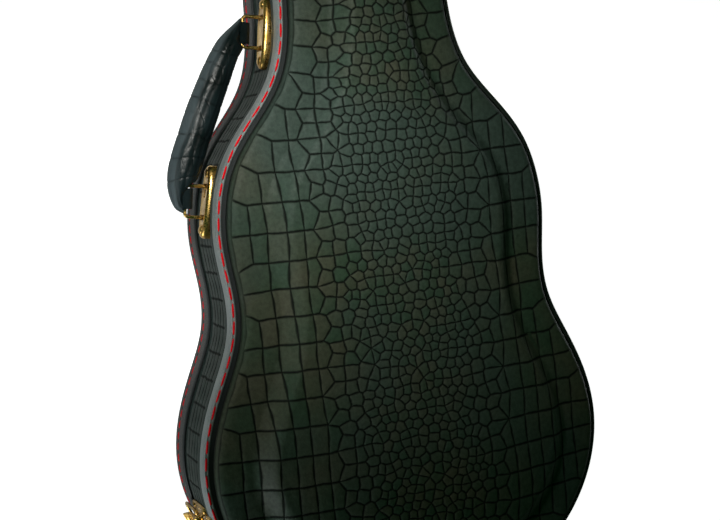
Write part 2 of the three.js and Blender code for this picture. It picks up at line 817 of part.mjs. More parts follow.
function makeHandle() {
  const turn = THREE.MathUtils.degToRad(ringTurnDegrees);
  const seats = [upperPlateY, lowerPlateY].map((y) => wallSeat(-1, y, plateLength / 2, rimInset, handleZ));
  const bars = [];
  ['upper', 'lower'].forEach((end, i) => {
    const seat = seats[i];
    // The ring's axis is the same direction in both plates, so that the grip can swing on both
    const ringAngle = Math.PI / 2 - turn;
    piece(`handle_plate_${end}`, handlePlate(seat, ringAngle - seat.rotation.z), brass, seat);
    const pivot = new THREE.Group();
    pivot.position.copy(new THREE.Vector3(0, ringPivotHeight, 0).applyMatrix4(seat.matrixWorld));
    pivot.rotation.z = ringAngle;
    root.add(pivot);
    piece(`handle_ring_${end}`, handleRing(), brass, pivot);
    pivot.updateMatrixWorld(true);
    bars.push(new THREE.Vector3(0, ringReach, 0).applyMatrix4(pivot.matrixWorld));
  });
  const [upperBar, lowerBar] = bars;
  const way = upperBar.clone().sub(lowerBar);
  const chord = way.length();
  const grip = new THREE.Group();
  grip.position.copy(lowerBar);
  grip.rotation.z = Math.atan2(way.y, way.x);
  root.add(grip);
  const lean = Math.PI / 2 - turn - grip.rotation.z;
  const free = ringWire + wireClearance;
  const tools = [];
  for (const x of [0, chord]) {
    tools.push(rod(free, -ringWidth, ringWidth, 10).rotateZ(lean).translate(x, 0, 0));
    for (const side of [-1, 1]) {
      const at = side * ringWidth / 2;
      const near = at - armNotch / 2 - (side < 0 ? gripRadius : 0);
      const far = at + armNotch / 2 + (side > 0 ? gripRadius : 0);
      const reachIn = (x === 0) === (side < 0);
      tools.push(box([reachIn ? near : at - armNotch / 2, -gripRadius * 2, -gripRadius * 2],
        [reachIn ? far : at + armNotch / 2, armNotchRise, gripRadius * 2]).rotateZ(lean).translate(x, 0, 0));
    }
  }
  piece('handle_grip', cut(gripBody(chord), ...tools), gripLeather, grip);
}

// Draw latches

function latchPlate(seat) {
  const rivets = [];
  for (const x of [-1, 1]) {
    for (const z of [-latchPlateTop - rivetMargin, rivetMargin - latchPlateBottom]) {
      rivets.push(rivetHead(rivetRadius, rivetRise).translate(
        x * (latchWidth / 2 - rivetMargin), latchPlateThickness, z));
    }
  }
  const ears = [-1, 1].map((side) => {
    const inner = leverWidth / 2 + seatGap;
    return join(
      box([0, 0, -earRadius], [earThickness, leverPivotOut, earRadius]),
      rod(earRadius, 0, earThickness, 12).translate(0, leverPivotOut, 0),
    ).translate(side > 0 ? inner : -inner - earThickness, 0, -leverPivotDrop);
  });
  const plate = roundedPlate(latchWidth / 2, -latchPlateBottom, -latchPlateTop, latchPlateCorner,
    -overrun, latchPlateThickness);
  const bore = rod(leverPin + pinClearance, -latchWidth, latchWidth, 10)
    .translate(0, leverPivotOut, -leverPivotDrop);
  return cut(seated(join(plate, ...rivets, ...ears), seat, baseBlock), bore);
}

// The lever in the frame of its pin: hub, flat blade and a thumb lip that curls outward
function latchLever() {
  const t = leverThickness;
  const front = leverCurlShares.map(([out, down]) => [t + out * leverLip, -down * leverLength]);
  const behind = leverCurlShares.map(([out, down]) => [out * leverLip, -down * leverLength - out * t]);
  const blade = [[t, 0], ...front, ...behind.reverse(), [0, 0]];
  const strip = extrudeAlongX(blade, -leverWidth / 2, leverWidth / 2).translate(0, -t / 2, 0);
  const hub = rod(leverPin + t, -leverWidth / 2, leverWidth / 2, 12);
  const pinHalf = leverWidth / 2 + seatGap + earThickness + seatGap;
  const pin = rod(leverPin, -pinHalf, pinHalf, 10);
  const cheeks = [-1, 1].map((side) => {
    const edge = side * leverWidth / 2;
    const low = Math.min(edge, edge - side * t);
    return box([low, -loopIn - loopWire - pinClearance - t / 2, -loopDrop - 2 * t],
      [low + t, 0, -loopDrop + 2 * t]);
  });
  const bore = rod(loopWire + pinClearance, -latchWidth, latchWidth, 10).translate(0, -loopIn, -loopDrop);
  return cut(join(strip, hub, pin, ...cheeks), bore);
}

// The wire loop in the frame of its pivots, hanging down: in through the cheeks, down the legs, across the bar
function latchLoop() {
  const half = leverWidth / 2 + seatGap + earThickness + loopLegGap;
  const inner = leverWidth / 2 - leverThickness;
  const bend = loopCorner * roundShare;
  const side = [[inner, 0], [half - loopCorner, 0], [half - bend, -bend], [half, -loopCorner],
    [half, loopCorner - loopLength], [half - bend, bend - loopLength], [half - loopCorner, -loopLength]];
  const points = [...side, ...side.map(([x, z]) => [-x, z]).reverse()];
  return wire(points.map(([x, z]) => [x, 0, z]), loopWire, 8, false);
}

// The catch on the lid, its hook where the loop's bar comes to lie
function latchCatch(seat) {
  const plate = roundedPlate(catchWidth / 2, catchBottom, catchTop, catchCorner, -overrun, catchThickness);
  const pivotOut = leverPivotOut - loopIn - rimInset;
  const barZ = -leverPivotDrop - loopDrop + loopLength;
  const under = barZ - loopWire - loopClearance;
  const reach = catchThickness + hookReach;
  const hook = [[0, under - hookThickness], [reach - hookThickness, under - hookThickness],
    [reach, under - hookThickness / 2], [reach, under], [reach - hookLip, under + hookLip],
    [reach - hookThickness, under + hookLip], [pivotOut - loopWire, under], [0, under]];
  const rivets = [-1, 1].map((side) => rivetHead(rivetRadius, rivetRise).translate(
    side * (catchWidth / 2 - rivetMargin), catchThickness, catchTop - rivetMargin));
  return seated(join(plate, extrudeAlongX(hook, -hookWidth / 2, hookWidth / 2), ...rivets), seat, lidBlock);
}

function makeLatch(name, seat) {
  piece(`latch_${name}_plate`, latchPlate(seat), brass, seat);
  const lever = new THREE.Group();
  lever.position.set(0, leverPivotOut, -leverPivotDrop);
  seat.add(lever);
  piece(`latch_${name}_lever`, latchLever(), brass, lever);
  const loop = new THREE.Group();
  loop.position.set(0, -loopIn, -loopDrop);
  lever.add(loop);
  piece(`latch_${name}_loop`, latchLoop(), brass, loop);
  // The lid's edge band stands out past the base wall by the wall's inset
  const lidSeat = new THREE.Group();
  lidSeat.position.set(0, rimInset, 0);
  seat.add(lidSeat);
  lidSeat.updateMatrixWorld(true);
  piece(`latch_${name}_catch`, latchCatch(lidSeat), brass, lidSeat);
}

// Hinges

// The pins share one line: it touches the outline's lower bout and its head on the hinge side
function hingeLine() {
  const right = corners.slice(0, halfOutlineSteps + 1).map(([x, y]) => new THREE.Vector2(x, y));
  const low = right.reduce((best, p) => (p.x > best.x ? p : best));
  const head = right.filter((p) => p.y > neckEndY).reduce((best, p) => {
    const slope = (q) => (q.x - low.x) / (q.y - low.y);
    return slope(p) > slope(best) ? p : best;
  });
  const along = head.clone().sub(low).normalize();
  const out = new THREE.Vector2(along.y, -along.x);
  const reach = Math.max(...right.map((p) => out.dot(p)));
  return { along, out, distance: reach + hingeStandOff };
}

function hingeLeaf(depth, height, side, ownSpans) {
  const half = hingeLength / 2;
  const span = hingeLength / knuckleSpans;
  const up = (low, high) => (side > 0 ? [low, high] : [-high, -low]);
  const [leafLow, leafHigh] = up(leafStart, leafStart + height);
  const leaf = roundedPlate(half, leafLow, leafHigh, leafThickness, -depth - overrun, leafThickness - depth);
  const [webLow, webHigh] = up(leafStart, leafStart + leafThickness);
  const web = box([-half, -depth, webLow], [half, 0, webHigh]);
  const parts = [leaf, web];
  for (let i = 0; i < knuckleSpans; i += 1) {
    if (ownSpans.includes(i)) {
      const low = -half + i * span + (i > 0 ? seatGap / 2 : 0);
      const high = low + span - (i > 0 && i < knuckleSpans - 1 ? seatGap : seatGap / 2);
      const [neckLow, neckHigh] = up(hingeWire, leafStart + leafThickness / 2);
      parts.push(rod(knuckleRadius, low, high, 12), box([low, -leafThickness, neckLow], [high, 0, neckHigh]));
    }
  }
  const middle = (leafLow + leafHigh) / 2 + side * leafThickness;
  for (const x of [-1, 1]) {
    parts.push(rivetHead(rivetRadius, rivetRise).translate(x * half * leafRivetShare, leafThickness - depth, middle));
  }
  return join(...parts);
}

function makeHinge(name, y, line) {
  const at = line.out.clone().multiplyScalar(line.distance);
  at.addScaledVector(line.along, (y - at.y) / line.along.y);
  const hinge = new THREE.Group();
  hinge.position.set(at.x, at.y, (seamZ + lidZ) / 2);
  hinge.rotation.z = Math.atan2(-line.along.y, -line.along.x);
  root.add(hinge);
  // How deep the wall lies behind the pins over the hinge's length
  const depthTo = (inset) => {
    const walls = [-0.5, 0, 0.5].map((share) => wallPoint(1, at.y + share * hingeLength, inset));
    const inner = ring(inset, 0).filter((p) => p[0] > 0 && Math.abs(p[1] - at.y) < hingeLength / 2);
    const reach = Math.max(...walls.map((p) => line.out.dot(p)),
      ...inner.map((p) => line.out.dot(new THREE.Vector2(p[0], p[1]))));
    return line.distance - reach;
  };
  const bore = rod(hingeWire + pinClearance, -hingeLength, hingeLength, 10);
  const baseLeaf = cut(hingeLeaf(depthTo(rimInset), leafBaseHeight, -1, [0, 2, 4]), bore);
  const lidLeaf = cut(hingeLeaf(depthTo(0), leafLidHeight, 1, [1, 3]), bore);
  piece(`hinge_${name}_base_leaf`, seated(baseLeaf, hinge, baseBlock), brass, hinge);
  piece(`hinge_${name}_lid_leaf`, seated(lidLeaf, hinge, lidBlock), brass, hinge);
  const half = hingeLength / 2 + seatGap;
  piece(`hinge_${name}_pin`, join(
    rod(hingeWire, -half - pinHeadHeight, half + pinHeadHeight, 10),
    rod(pinHead, half, half + pinHeadHeight, 10),
    rod(pinHead, -half - pinHeadHeight, -half, 10),
  ), brass, hinge);
}

makeBase();
makeLinings();
makeCradleAndCompartment();
makeLid();
makeHandle();
makeLatch('tail', wallSeat(-1, tailLatchY, latchWidth / 2, rimInset, seamZ));
makeLatch('neck', wallSeat(-1, neckLatchY, latchWidth / 2, rimInset, seamZ));
makeLatch('head', endSeat(rimInset, seamZ));
const line = hingeLine();
makeHinge('tail', tailHingeY, line);
makeHinge('head', headHingeY, line);

export default root;
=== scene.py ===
import json
import math
import random
import bmesh
import bpy
import numpy as np
from mathutils import Matrix, Vector, geometry
from mathutils.kdtree import KDTree


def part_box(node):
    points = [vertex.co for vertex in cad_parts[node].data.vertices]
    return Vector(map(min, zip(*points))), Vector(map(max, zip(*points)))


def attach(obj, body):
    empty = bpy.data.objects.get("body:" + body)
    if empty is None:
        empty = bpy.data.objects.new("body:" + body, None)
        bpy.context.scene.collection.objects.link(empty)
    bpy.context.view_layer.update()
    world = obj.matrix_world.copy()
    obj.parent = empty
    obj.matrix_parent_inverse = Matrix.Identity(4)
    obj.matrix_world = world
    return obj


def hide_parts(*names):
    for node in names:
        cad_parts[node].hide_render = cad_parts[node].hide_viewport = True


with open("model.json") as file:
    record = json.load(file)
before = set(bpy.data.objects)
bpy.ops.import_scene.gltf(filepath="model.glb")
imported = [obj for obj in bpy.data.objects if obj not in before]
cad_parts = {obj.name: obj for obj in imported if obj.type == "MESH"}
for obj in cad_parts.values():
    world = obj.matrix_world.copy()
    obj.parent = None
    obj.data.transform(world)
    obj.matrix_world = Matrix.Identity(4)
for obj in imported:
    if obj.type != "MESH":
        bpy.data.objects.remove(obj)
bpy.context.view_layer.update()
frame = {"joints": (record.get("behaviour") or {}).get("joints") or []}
mm = 0.001

# the camera of the photograph
view = {"place": (-303.66, 173.92, 845.77), "aim": (8.3, 98.7, 4.0), "roll": -5.99, "lens": 67.6,
        "sensor": 36, "near": 0.01}


def setCamera():
    place, aim = Vector(view["place"]) * mm, Vector(view["aim"]) * mm
    back = (place - aim).normalized()
    right = Vector((0, 1, 0)).cross(back).normalized()
    turned = Matrix((right, back.cross(right), back)).transposed().to_4x4()
    data = bpy.data.cameras.new("camera")
    data.lens, data.sensor_width, data.clip_start = view["lens"], view["sensor"], view["near"]
    cam = bpy.data.objects.new("camera", data)
    roll = Matrix.Rotation(math.radians(view["roll"]), 4, "Z")
    cam.matrix_world = Matrix.Translation(place) @ turned @ roll
    bpy.context.scene.collection.objects.link(cam)
    bpy.context.scene.camera = cam


setCamera()
print("camera set")

# the case's outline, in millimetres, at the lid's edge band
outline = {
    "half": {"lower": 131.3, "waist": 104.2, "upper": 107.3, "neck": 54.1, "head": 59.0},
    "y": {"tail": -124, "lower": -12, "waist": 90, "upper": 124, "neck": 282, "neckEnd": 440, "head": 545,
          "end": 611},
    "bout": (0.25, 0.5, 0.75),
    "toWaist": ((0.314, 0.207), (0.559, 0.583), (0.804, 0.937)),
    "shoulder": ((0.133, 0.026), (0.291, 0.164), (0.449, 0.481), (0.608, 0.82), (0.766, 0.955),
                 (0.924, 0.99)),
    "flare": ((0.35, 0.2), (0.7, 0.72)),
    "cap": (0.2, 0.45, 0.72), "squareness": 2.5,
    "columns": 464, "fine": 4640, "spine": 120,
}
heights = {"lid": 66.3, "front": 81, "panel": 79.8, "edge": 88.6, "shelf": 90.2, "flank": 101, "crown": 5.2,
           "edgeRound": 4.4, "panelInset": 6, "shelfInset": 10.4, "flankStart": 25.4, "flankEnd": 43.4}


def between(shares, start, end):
    return [(start[0] + b * (end[0] - start[0]), start[1] + a * (end[1] - start[1])) for a, b in shares]


def rightHalf():
    half, y = outline["half"], outline["y"]
    lower, waist = (half["lower"], y["lower"]), (half["waist"], y["waist"])
    upper, neck = (half["upper"], y["upper"]), (half["neck"], y["neck"])
    neckMiddle = (half["neck"], (y["neck"] + y["neckEnd"]) / 2)
    neckEnd, head = (half["neck"], y["neckEnd"]), (half["head"], y["head"])
    tail, cap = [], []
    for share in (0,) + outline["bout"]:
        angle = share * math.pi / 2
        tail.append((half["lower"] * math.sin(angle),
                     y["lower"] - (y["lower"] - y["tail"]) * math.cos(angle)))
    power = 2 / outline["squareness"]
    for share in outline["cap"]:
        angle = share * math.pi / 2
        cap.append((half["head"] * math.cos(angle) ** power,
                    y["head"] + (y["end"] - y["head"]) * math.sin(angle) ** power))
    return tail + [lower] + between(outline["toWaist"], lower, waist) + [waist, upper] \
        + between(outline["shoulder"], upper, neck) + [neck, neckMiddle, neckEnd] \
        + between(outline["flare"], neckEnd, head) + [head] + cap + [(0, y["end"])]


def smoothLoop(stations, perSpan=40):
    # a closed cubic spline through the stations
    at = np.array(stations, float)
    count = len(at)
    step = np.linalg.norm(np.roll(at, -1, 0) - at, axis=1)
    matrix, wanted = np.zeros((count, count)), np.zeros((count, 2))
    for i in range(count):
        before, after = step[i - 1], step[i]
        matrix[i, i - 1] += before
        matrix[i, i] += 2 * (before + after)
        matrix[i, (i + 1) % count] += after
        wanted[i] = 6 * ((at[(i + 1) % count] - at[i]) / after - (at[i] - at[i - 1]) / before)
    bend = np.linalg.solve(matrix, wanted)
    curve = []
    for i in range(count):
        j, h = (i + 1) % count, step[i]
        for k in range(perSpan):
            b = k / perSpan
            a = 1 - b
            pull = (a ** 3 - a) * bend[i] + (b ** 3 - b) * bend[j]
            curve.append(a * at[i] + b * at[j] + pull * h * h / 6)
    return np.array(curve)


def runOf(line):
    # how far along the line each of its points lies
    return np.concatenate([[0], np.cumsum(np.linalg.norm(np.diff(line, axis=0), axis=1))])


def placesAt(closed, run, at):
    return np.column_stack([np.interp(at, run, closed[:, axis]) for axis in (0, 1)])


def closedRun(line):
    closed = np.vstack([line, line[:1]])
    return closed, runOf(closed)


def evenLoop(curve, count):
    closed, run = closedRun(curve)
    return placesAt(closed, run, np.linspace(0, run[-1], count, endpoint=False))


def inwardOf(line):
    way = np.roll(line, -1, 0) - np.roll(line, 1, 0)
    way /= np.linalg.norm(way, axis=1)[:, None]
    return np.column_stack([-way[:, 1], way[:, 0]])


halfOutline = rightHalf()
loopCurve = smoothLoop(halfOutline + [(-x, y) for x, y in reversed(halfOutline[1:-1])])
rim = evenLoop(loopCurve, outline["columns"])
rimIn = inwardOf(rim)
fineRim = evenLoop(loopCurve, outline["fine"])
fineIn = inwardOf(fineRim)
rimTree = KDTree(len(fineRim))
for index, (x, y) in enumerate(fineRim):
    rimTree.insert((x, y, 0), index)
rimTree.balance()


def rimSpot(p):
    # the nearest point of the fine outline: its number, and how far away it is
    return rimTree.find((p[0], p[1], 0))[1:]


def insetOf(points):
    return np.array([rimSpot(p)[1] for p in points])


def spineInset(y):
    low, high = outline["y"]["lower"], outline["y"]["head"]
    table = np.linspace(low, high, outline["spine"])
    return np.interp(np.clip(y, low, high), table, insetOf([(0, v) for v in table]))


def halfWidth(y):
    right = fineRim[:len(fineRim) // 2 + 1]
    return np.interp(y, right[:, 1], right[:, 0])


def archHeight(points, inset=None):
    # the lid's top: a rounded edge, a shelf, a rising flank and a gentle crown
    points = np.asarray(points, float)
    inset = insetOf(points) if inset is None else inset
    h = heights
    into = np.clip(h["shelfInset"] - inset, 0, h["edgeRound"])
    z = h["edge"] - h["edgeRound"] + np.sqrt(h["edgeRound"] ** 2 - into ** 2)
    shelf = np.clip((inset - h["shelfInset"]) / (h["flankStart"] - h["shelfInset"]), 0, 1)
    z += (h["shelf"] - h["edge"]) * shelf
    rise = np.clip(((inset - h["flankStart"]) / (h["flankEnd"] - h["flankStart"]) - 0.1) / 0.8, 0, 1)
    z += (h["flank"] - h["shelf"]) * rise * rise * (3 - 2 * rise)
    share = np.clip((inset - h["flankEnd"]) / (spineInset(points[:, 1]) - h["flankEnd"]), 0, 1)
    spineY = np.clip(points[:, 1], outline["y"]["lower"], outline["y"]["head"])
    crown = h["crown"] * (halfWidth(spineY) - h["flankEnd"]) / (outline["half"]["lower"] - h["flankEnd"])
    return z + crown * (1 - (1 - share) ** 2)


# modelling helpers
def deselect():
    if bpy.context.object and bpy.context.object.mode != "OBJECT":
        bpy.ops.object.mode_set(mode="OBJECT")
    bpy.ops.object.select_all(action="DESELECT")


def pick(made):
    deselect()
    made.select_set(True)
    bpy.context.view_layer.objects.active = made
    return made


def sweepRings(name, rings, ends="wrap"):
    # a circle is shaped into the first ring, then its edge is extruded from ring to ring
    deselect()
    bpy.ops.mesh.primitive_circle_add(vertices=len(rings[0]), radius=1)
    made = bpy.context.object
    made.name = made.data.name = name
    bpy.ops.object.mode_set(mode="EDIT")
    bpy.ops.mesh.select_all(action="SELECT")
    mesh = bmesh.from_edit_mesh(made.data)
    column = mesh.verts.layers.int.new("column")
    for k, vert in enumerate(mesh.verts):
        vert[column] = k
        vert.co = Vector(rings[0][k]) * mm
    if ends == "cap":
        bpy.ops.mesh.edge_face_add()
    todo = rings[1:] + ([rings[0]] if ends == "wrap" else [])
    for ring in todo:
        bpy.ops.mesh.extrude_edges_move()
        mesh = bmesh.from_edit_mesh(made.data)
        column = mesh.verts.layers.int["column"]
        for vert in mesh.verts:
            if vert.select:
                vert.co = Vector(ring[vert[column]]) * mm
    if ends == "cap":
        bpy.ops.mesh.edge_face_add()
    bmesh.update_edit_mesh(made.data)
    bpy.ops.mesh.select_all(action="SELECT")
    bpy.ops.mesh.remove_doubles(threshold=1e-6)
    bpy.ops.mesh.normals_make_consistent(inside=False)
    bpy.ops.object.mode_set(mode="OBJECT")
    made.data.attributes.remove(made.data.attributes["column"])
    return made


def sweepRim(name, profile):
    # a profile of insets and heights drawn along the outline
    rings = []
    for inset, z in profile:
        rings.append([(x, y, z) for x, y in rim + rimIn * inset])
    return sweepRings(name, rings)


def finish(made, slot, body, *replaced, angle=None):
    pick(made)
    if angle is None:
        bpy.ops.object.shade_smooth()
    else:
        bpy.ops.object.shade_smooth_by_angle(angle=math.radians(angle))
    made.data.materials.clear()
    made.data.materials.append(looks[slot])
    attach(made, body)
    if replaced:
        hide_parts(*replaced)
    return made


def modify(made, kind, **settings):
    pick(made)
    modifier = made.modifiers.new(kind.lower(), kind)
    for key, value in settings.items():
        setattr(modifier, key, value)
    bpy.ops.object.modifier_apply(modifier=modifier.name)
    return made


def rounded(points, radius, steps=3):
    # a profile with its corners rounded; the radius is one for all or one for each corner
    done = []
    count = len(points)
    radii = radius if isinstance(radius, (list, tuple)) else [radius] * count
    for i, p in enumerate(points):
        here, before, after = Vector(p), Vector(points[i - 1]), Vector(points[(i + 1) % count])
        reach = min(radii[i], (before - here).length * 0.45, (after - here).length * 0.45)
        if reach <= 0:
            done.append(tuple(here))
            continue
        start, end = here + (before - here).normalized() * reach, here + (after - here).normalized() * reach
        for k in range(steps + 1):
            t = k / steps
            done.append(tuple(start * (1 - t) ** 2 + here * 2 * t * (1 - t) + end * t * t))
    return done


# materials
class Wire:  # a socket that does arithmetic
    def __init__(self, tree, socket=None):
        self.tree, self.socket = tree, socket

    def node(self, kind, settings=None, links=None, out=0):
        made = self.tree.nodes.new(kind)
        for key, value in (settings or {}).items():
            setattr(made, key, value)
        for key, value in (links or {}).items():
            if isinstance(value, Wire):
                self.tree.links.new(value.socket, made.inputs[key])
            else:
                made.inputs[key].default_value = value
        return Wire(self.tree, made.outputs[out])

    def math(self, operation, *values):
        return self.node("ShaderNodeMath", {"operation": operation}, dict(enumerate(values)))

    def __add__(self, other):
        return self.math("ADD", self, other)

    def __sub__(self, other):
        return self.math("SUBTRACT", self, other)

    def __mul__(self, other):
        return self.math("MULTIPLY", self, other)

    def __rsub__(self, other):
        return self.math("SUBTRACT", other, self)

    __radd__, __rmul__ = __add__, __mul__

    def clamp(self):
        return self.node("ShaderNodeClamp", {}, {0: self})

    def span(self, low, high, toLow=0.0, toHigh=1.0):
        return self.node("ShaderNodeMapRange", {}, {0: self, 1: low, 2: high, 3: toLow, 4: toHigh})


looks, slotOf = {}, {}


def newLook(name, slot):
    made = bpy.data.materials.new(name)
    made.use_nodes = True
    tree = made.node_tree
    tree.nodes.clear()
    shader = tree.nodes.new("ShaderNodeBsdfPrincipled")
    out = tree.nodes.new("ShaderNodeOutputMaterial")
    tree.links.new(shader.outputs[0], out.inputs[0])
    looks[name], slotOf[name] = made, slot
    return Wire(tree), shader


sockets = {"colour": "Base Color", "rough": "Roughness", "metal": "Metallic", "normal": "Normal",
           "specular": "Specular IOR Level", "sheen": "Sheen Weight", "sheenRough": "Sheen Roughness"}


def feed(wire, shader, **values):
    for key, value in values.items():
        socket = shader.inputs[sockets[key]]
        if isinstance(value, Wire):
            wire.tree.links.new(value.socket, socket)
        else:
            socket.default_value = value


def place3(wire, stretch=(1, 1, 1)):
    at = wire.node("ShaderNodeTexCoord", {}, {}, 3)
    return wire.node("ShaderNodeMapping", {}, {0: at, 3: stretch})


def noise(wire, at, scale, detail=2.0, rough=0.5):
    links = {"Vector": at, "Scale": scale, "Detail": detail, "Roughness": rough}
    return wire.node("ShaderNodeTexNoise", {}, links)


def grain(wire, at, scale, feature="F1"):
    return wire.node("ShaderNodeTexVoronoi", {"feature": feature}, {"Vector": at, "Scale": scale})


def blend(wire, factor, first, second):
    return wire.node("ShaderNodeMix", {"data_type": "RGBA"}, {0: factor, 6: first, 7: second}, 2)


def bump(wire, height, strength, distance, under=None):
    links = {"Height": height, "Strength": strength, "Distance": distance}
    if under:
        links["Normal"] = under
    return wire.node("ShaderNodeBump", {}, links)


def attribute(wire, name):
    return wire.node("ShaderNodeAttribute", {"attribute_name": name}, {}, 2)


def axisOf(wire, at, axis):
    return wire.node("ShaderNodeSeparateXYZ", {}, {0: at}, axis)


# painted shade: the crease colour is the near-black put into the grooves between the scales
leather = {
    "green": (0.025, 0.047, 0.028, 1), "brown": (0.050, 0.052, 0.034, 1), "blue": (0.034, 0.052, 0.043, 1),
    "creaseShade": (0.0003, 0.0010, 0.0005, 1), "rough": (0.5, 0.66), "specular": 0.11, "wallSpecular": 0.14,
    # painted shade: the wall colours are a darker copy of the leather above, for the side walls
    "wall": ((0.017, 0.028, 0.024, 1), (0.025, 0.032, 0.029, 1), (0.020, 0.031, 0.029, 1)),
    "drift": 9.0, "cloud": 31.0, "waves": 60.0, "lines": 300.0, "fine": 420.0, "pores": 900.0,
}


def makeLeatherette(name, green, brown, blue, specular):
    wire, shader = newLook(name, "leatherette")
    at = place3(wire)
    tint, creaseShade = attribute(wire, "tint"), attribute(wire, "creaseShade")
    drift, cloud = noise(wire, at, leather["drift"], 3.0), noise(wire, at, leather["cloud"], 4.0)
    colour = blend(wire, (tint * 0.45 + cloud * 0.8).span(0.4, 0.85), green, brown)
    colour = blend(wire, drift.span(0.42, 0.62), colour, blue)
    fine = noise(wire, at, leather["fine"], 3.0, 0.6)
    colour = blend(wire, fine.span(0.3, 0.75, 0, 0.4), colour, leather["creaseShade"])
    # painted shade: the grooves between the scales are blended towards near-black by the crease value
    colour = blend(wire, creaseShade, colour, leather["creaseShade"])
    pores, waves = grain(wire, at, leather["pores"]), noise(wire, at, leather["waves"], 3.0)
    lines = noise(wire, place3(wire, (1, 0.25, 1)), leather["lines"], 2.0)
    normal = bump(wire, waves, 0.35, 0.0012)
    normal = bump(wire, lines + pores * 0.6, 0.35, 0.00025, normal)
    rough = (fine + waves).span(0.6, 1.4, *leather["rough"]) + creaseShade * 0.3
    feed(wire, shader, colour=colour, rough=rough, normal=normal, specular=specular)


band = {
    # painted shade: the right colour is the near-black of the lid band's right side
    "light": (0.18, 0.195, 0.197, 1), "dark": (0.11, 0.123, 0.125, 1), "right": (0.008, 0.012, 0.009, 1),
    # painted shade: the rear colours are the band leather made nearly black
    "rearShadedLight": (0.014, 0.017, 0.018, 1), "rearShadedDark": (0.009, 0.012, 0.013, 1), "rough": (0.42, 0.56),
    "rightShadeFrom": (0.02, 0.04), "drift": 35.0, "speck": 900.0, "pores": 1500.0, "specular": 0.3,
}


def makeBandLeather(name, light, dark, right=None):
    wire, shader = newLook(name, "band_leather")
    at = place3(wire)
    drift, speck = noise(wire, at, band["drift"], 4.0), noise(wire, at, band["speck"], 2.0)
    colour = blend(wire, (drift * 0.5 + speck * 0.5).span(0.38, 0.62), dark, light)
    if right:  # the photograph's right edge shows no light band
        # painted shade: the band turns near-black from x 2 cm to 4 cm towards the right
        colour = blend(wire, axisOf(wire, at, 0).span(*band["rightShadeFrom"]), colour, right)
    normal = bump(wire, grain(wire, at, band["pores"]) + speck, 0.4, 0.00018)
    normal = bump(wire, drift, 0.3, 0.0008, normal)
    rough = speck.span(0.3, 0.7, *band["rough"])
    feed(wire, shader, colour=colour, rough=rough, normal=normal, specular=band["specular"])


gripLook = {
    "black": (0.0022, 0.0052, 0.0054, 1), "blue": (0.009, 0.017, 0.020, 1), "outerSheen": (0.050, 0.066, 0.074, 1),
    "creaseShade": (0.0006, 0.001, 0.0012, 1), "drift": 40.0, "waves": 90.0, "folds": 160.0, "fine": 500.0,
    "specular": 0.24,
}


def makeGripLeather():
    wire, shader = newLook("gripLeather", "grip_leather")
    at = place3(wire)
    drift, fine = noise(wire, at, gripLook["drift"], 4.0), noise(wire, at, gripLook["fine"], 3.0)
    colour = blend(wire, drift.span(0.35, 0.65), gripLook["black"], gripLook["blue"])
    outer = attribute(wire, "outer")  # painted sheen: the outer side is painted a lighter blue-grey, as where it catches the light
    colour = blend(wire, outer, colour, gripLook["outerSheen"])
    # painted shade: the grip's creases and gathered folds are darkened
    colour = blend(wire, attribute(wire, "creaseShade"), colour, gripLook["creaseShade"])
    folds = grain(wire, place3(wire, (1, 0.6, 1)), gripLook["folds"], "DISTANCE_TO_EDGE")
    normal = bump(wire, folds.span(0.0, 0.10), 0.18, 0.0005)
    normal = bump(wire, noise(wire, at, gripLook["waves"], 2.0), 0.3, 0.0012, normal)
    normal = bump(wire, fine, 0.2, 0.00012, normal)
    rough = fine.span(0.3, 0.7, 0.26, 0.4) + drift.span(0.4, 0.7, 0, 0.12) + outer * 0.25
    feed(wire, shader, colour=colour, rough=rough, normal=normal, specular=gripLook["specular"])


metal = {
    "bright": (0.62, 0.41, 0.13, 1), "dull": (0.34, 0.19, 0.045, 1), "dark": (0.07, 0.035, 0.01, 1),
    "rough": (0.18, 0.42), "drift": 160.0, "spots": 420.0, "brushed": 700.0,
}


def makeBrass():
    wire, shader = newLook("brass", "brass")
    at = place3(wire)
    drift = noise(wire, at, metal["drift"], 4.0)
    brushed = noise(wire, place3(wire, (1, 4, 1)), metal["brushed"], 3.0)
    colour = blend(wire, drift.span(0.35, 0.7), metal["bright"], metal["dull"])
    spots = noise(wire, at, metal["spots"], 5.0).span(0.6, 0.75, 0, 0.8)
    colour = blend(wire, spots, colour, metal["dark"])
    rough = (drift * 0.5 + brushed * 0.5).span(0.35, 0.65, *metal["rough"])
    feed(wire, shader, colour=colour, rough=rough, metal=1.0, normal=bump(wire, brushed, 0.15, 0.0001))


threadLook = {"dark": (0.36, 0.0005, 0.004, 1), "light": (0.74, 0.001, 0.008, 1), "twist": 1800.0}


def makeThread():
    wire, shader = newLook("thread", "band_leather")
    twist = noise(wire, place3(wire), threadLook["twist"], 2.0)
    colour = blend(wire, twist.span(0.3, 0.7), threadLook["dark"], threadLook["light"])
    feed(wire, shader, colour=colour, rough=0.7, normal=bump(wire, twist, 0.5, 0.0002), specular=0.1)


plushLook = {"dark": (0.105, 0.006, 0.014, 1), "light": (0.19, 0.012, 0.026, 1),
             "shade": (0.05, 0.002, 0.006, 1), "pile": 1400.0, "drift": 22.0, "sheen": 0.5, "sheenRough": 0.4}


def makePlush():
    wire, shader = newLook("plush", "plush")
    at = place3(wire)
    pile, drift = noise(wire, at, plushLook["pile"], 2.0), noise(wire, at, plushLook["drift"], 3.0)
    colour = blend(wire, drift.span(0.35, 0.65), plushLook["dark"], plushLook["light"])
    colour = blend(wire, pile.span(0.3, 0.7, 0, 0.5), colour, plushLook["shade"])
    normal = bump(wire, pile, 0.5, 0.0005, bump(wire, drift, 0.4, 0.002))
    feed(wire, shader, colour=colour, rough=0.95, normal=normal, sheen=plushLook["sheen"],
         sheenRough=plushLook["sheenRough"], specular=0.2)


wood = {"dark": (0.23, 0.12, 0.05, 1), "light": (0.52, 0.33, 0.17, 1), "plies": 180.0, "fine": 300.0,
        "topShadeHeights": (0.0775, 0.0779)}


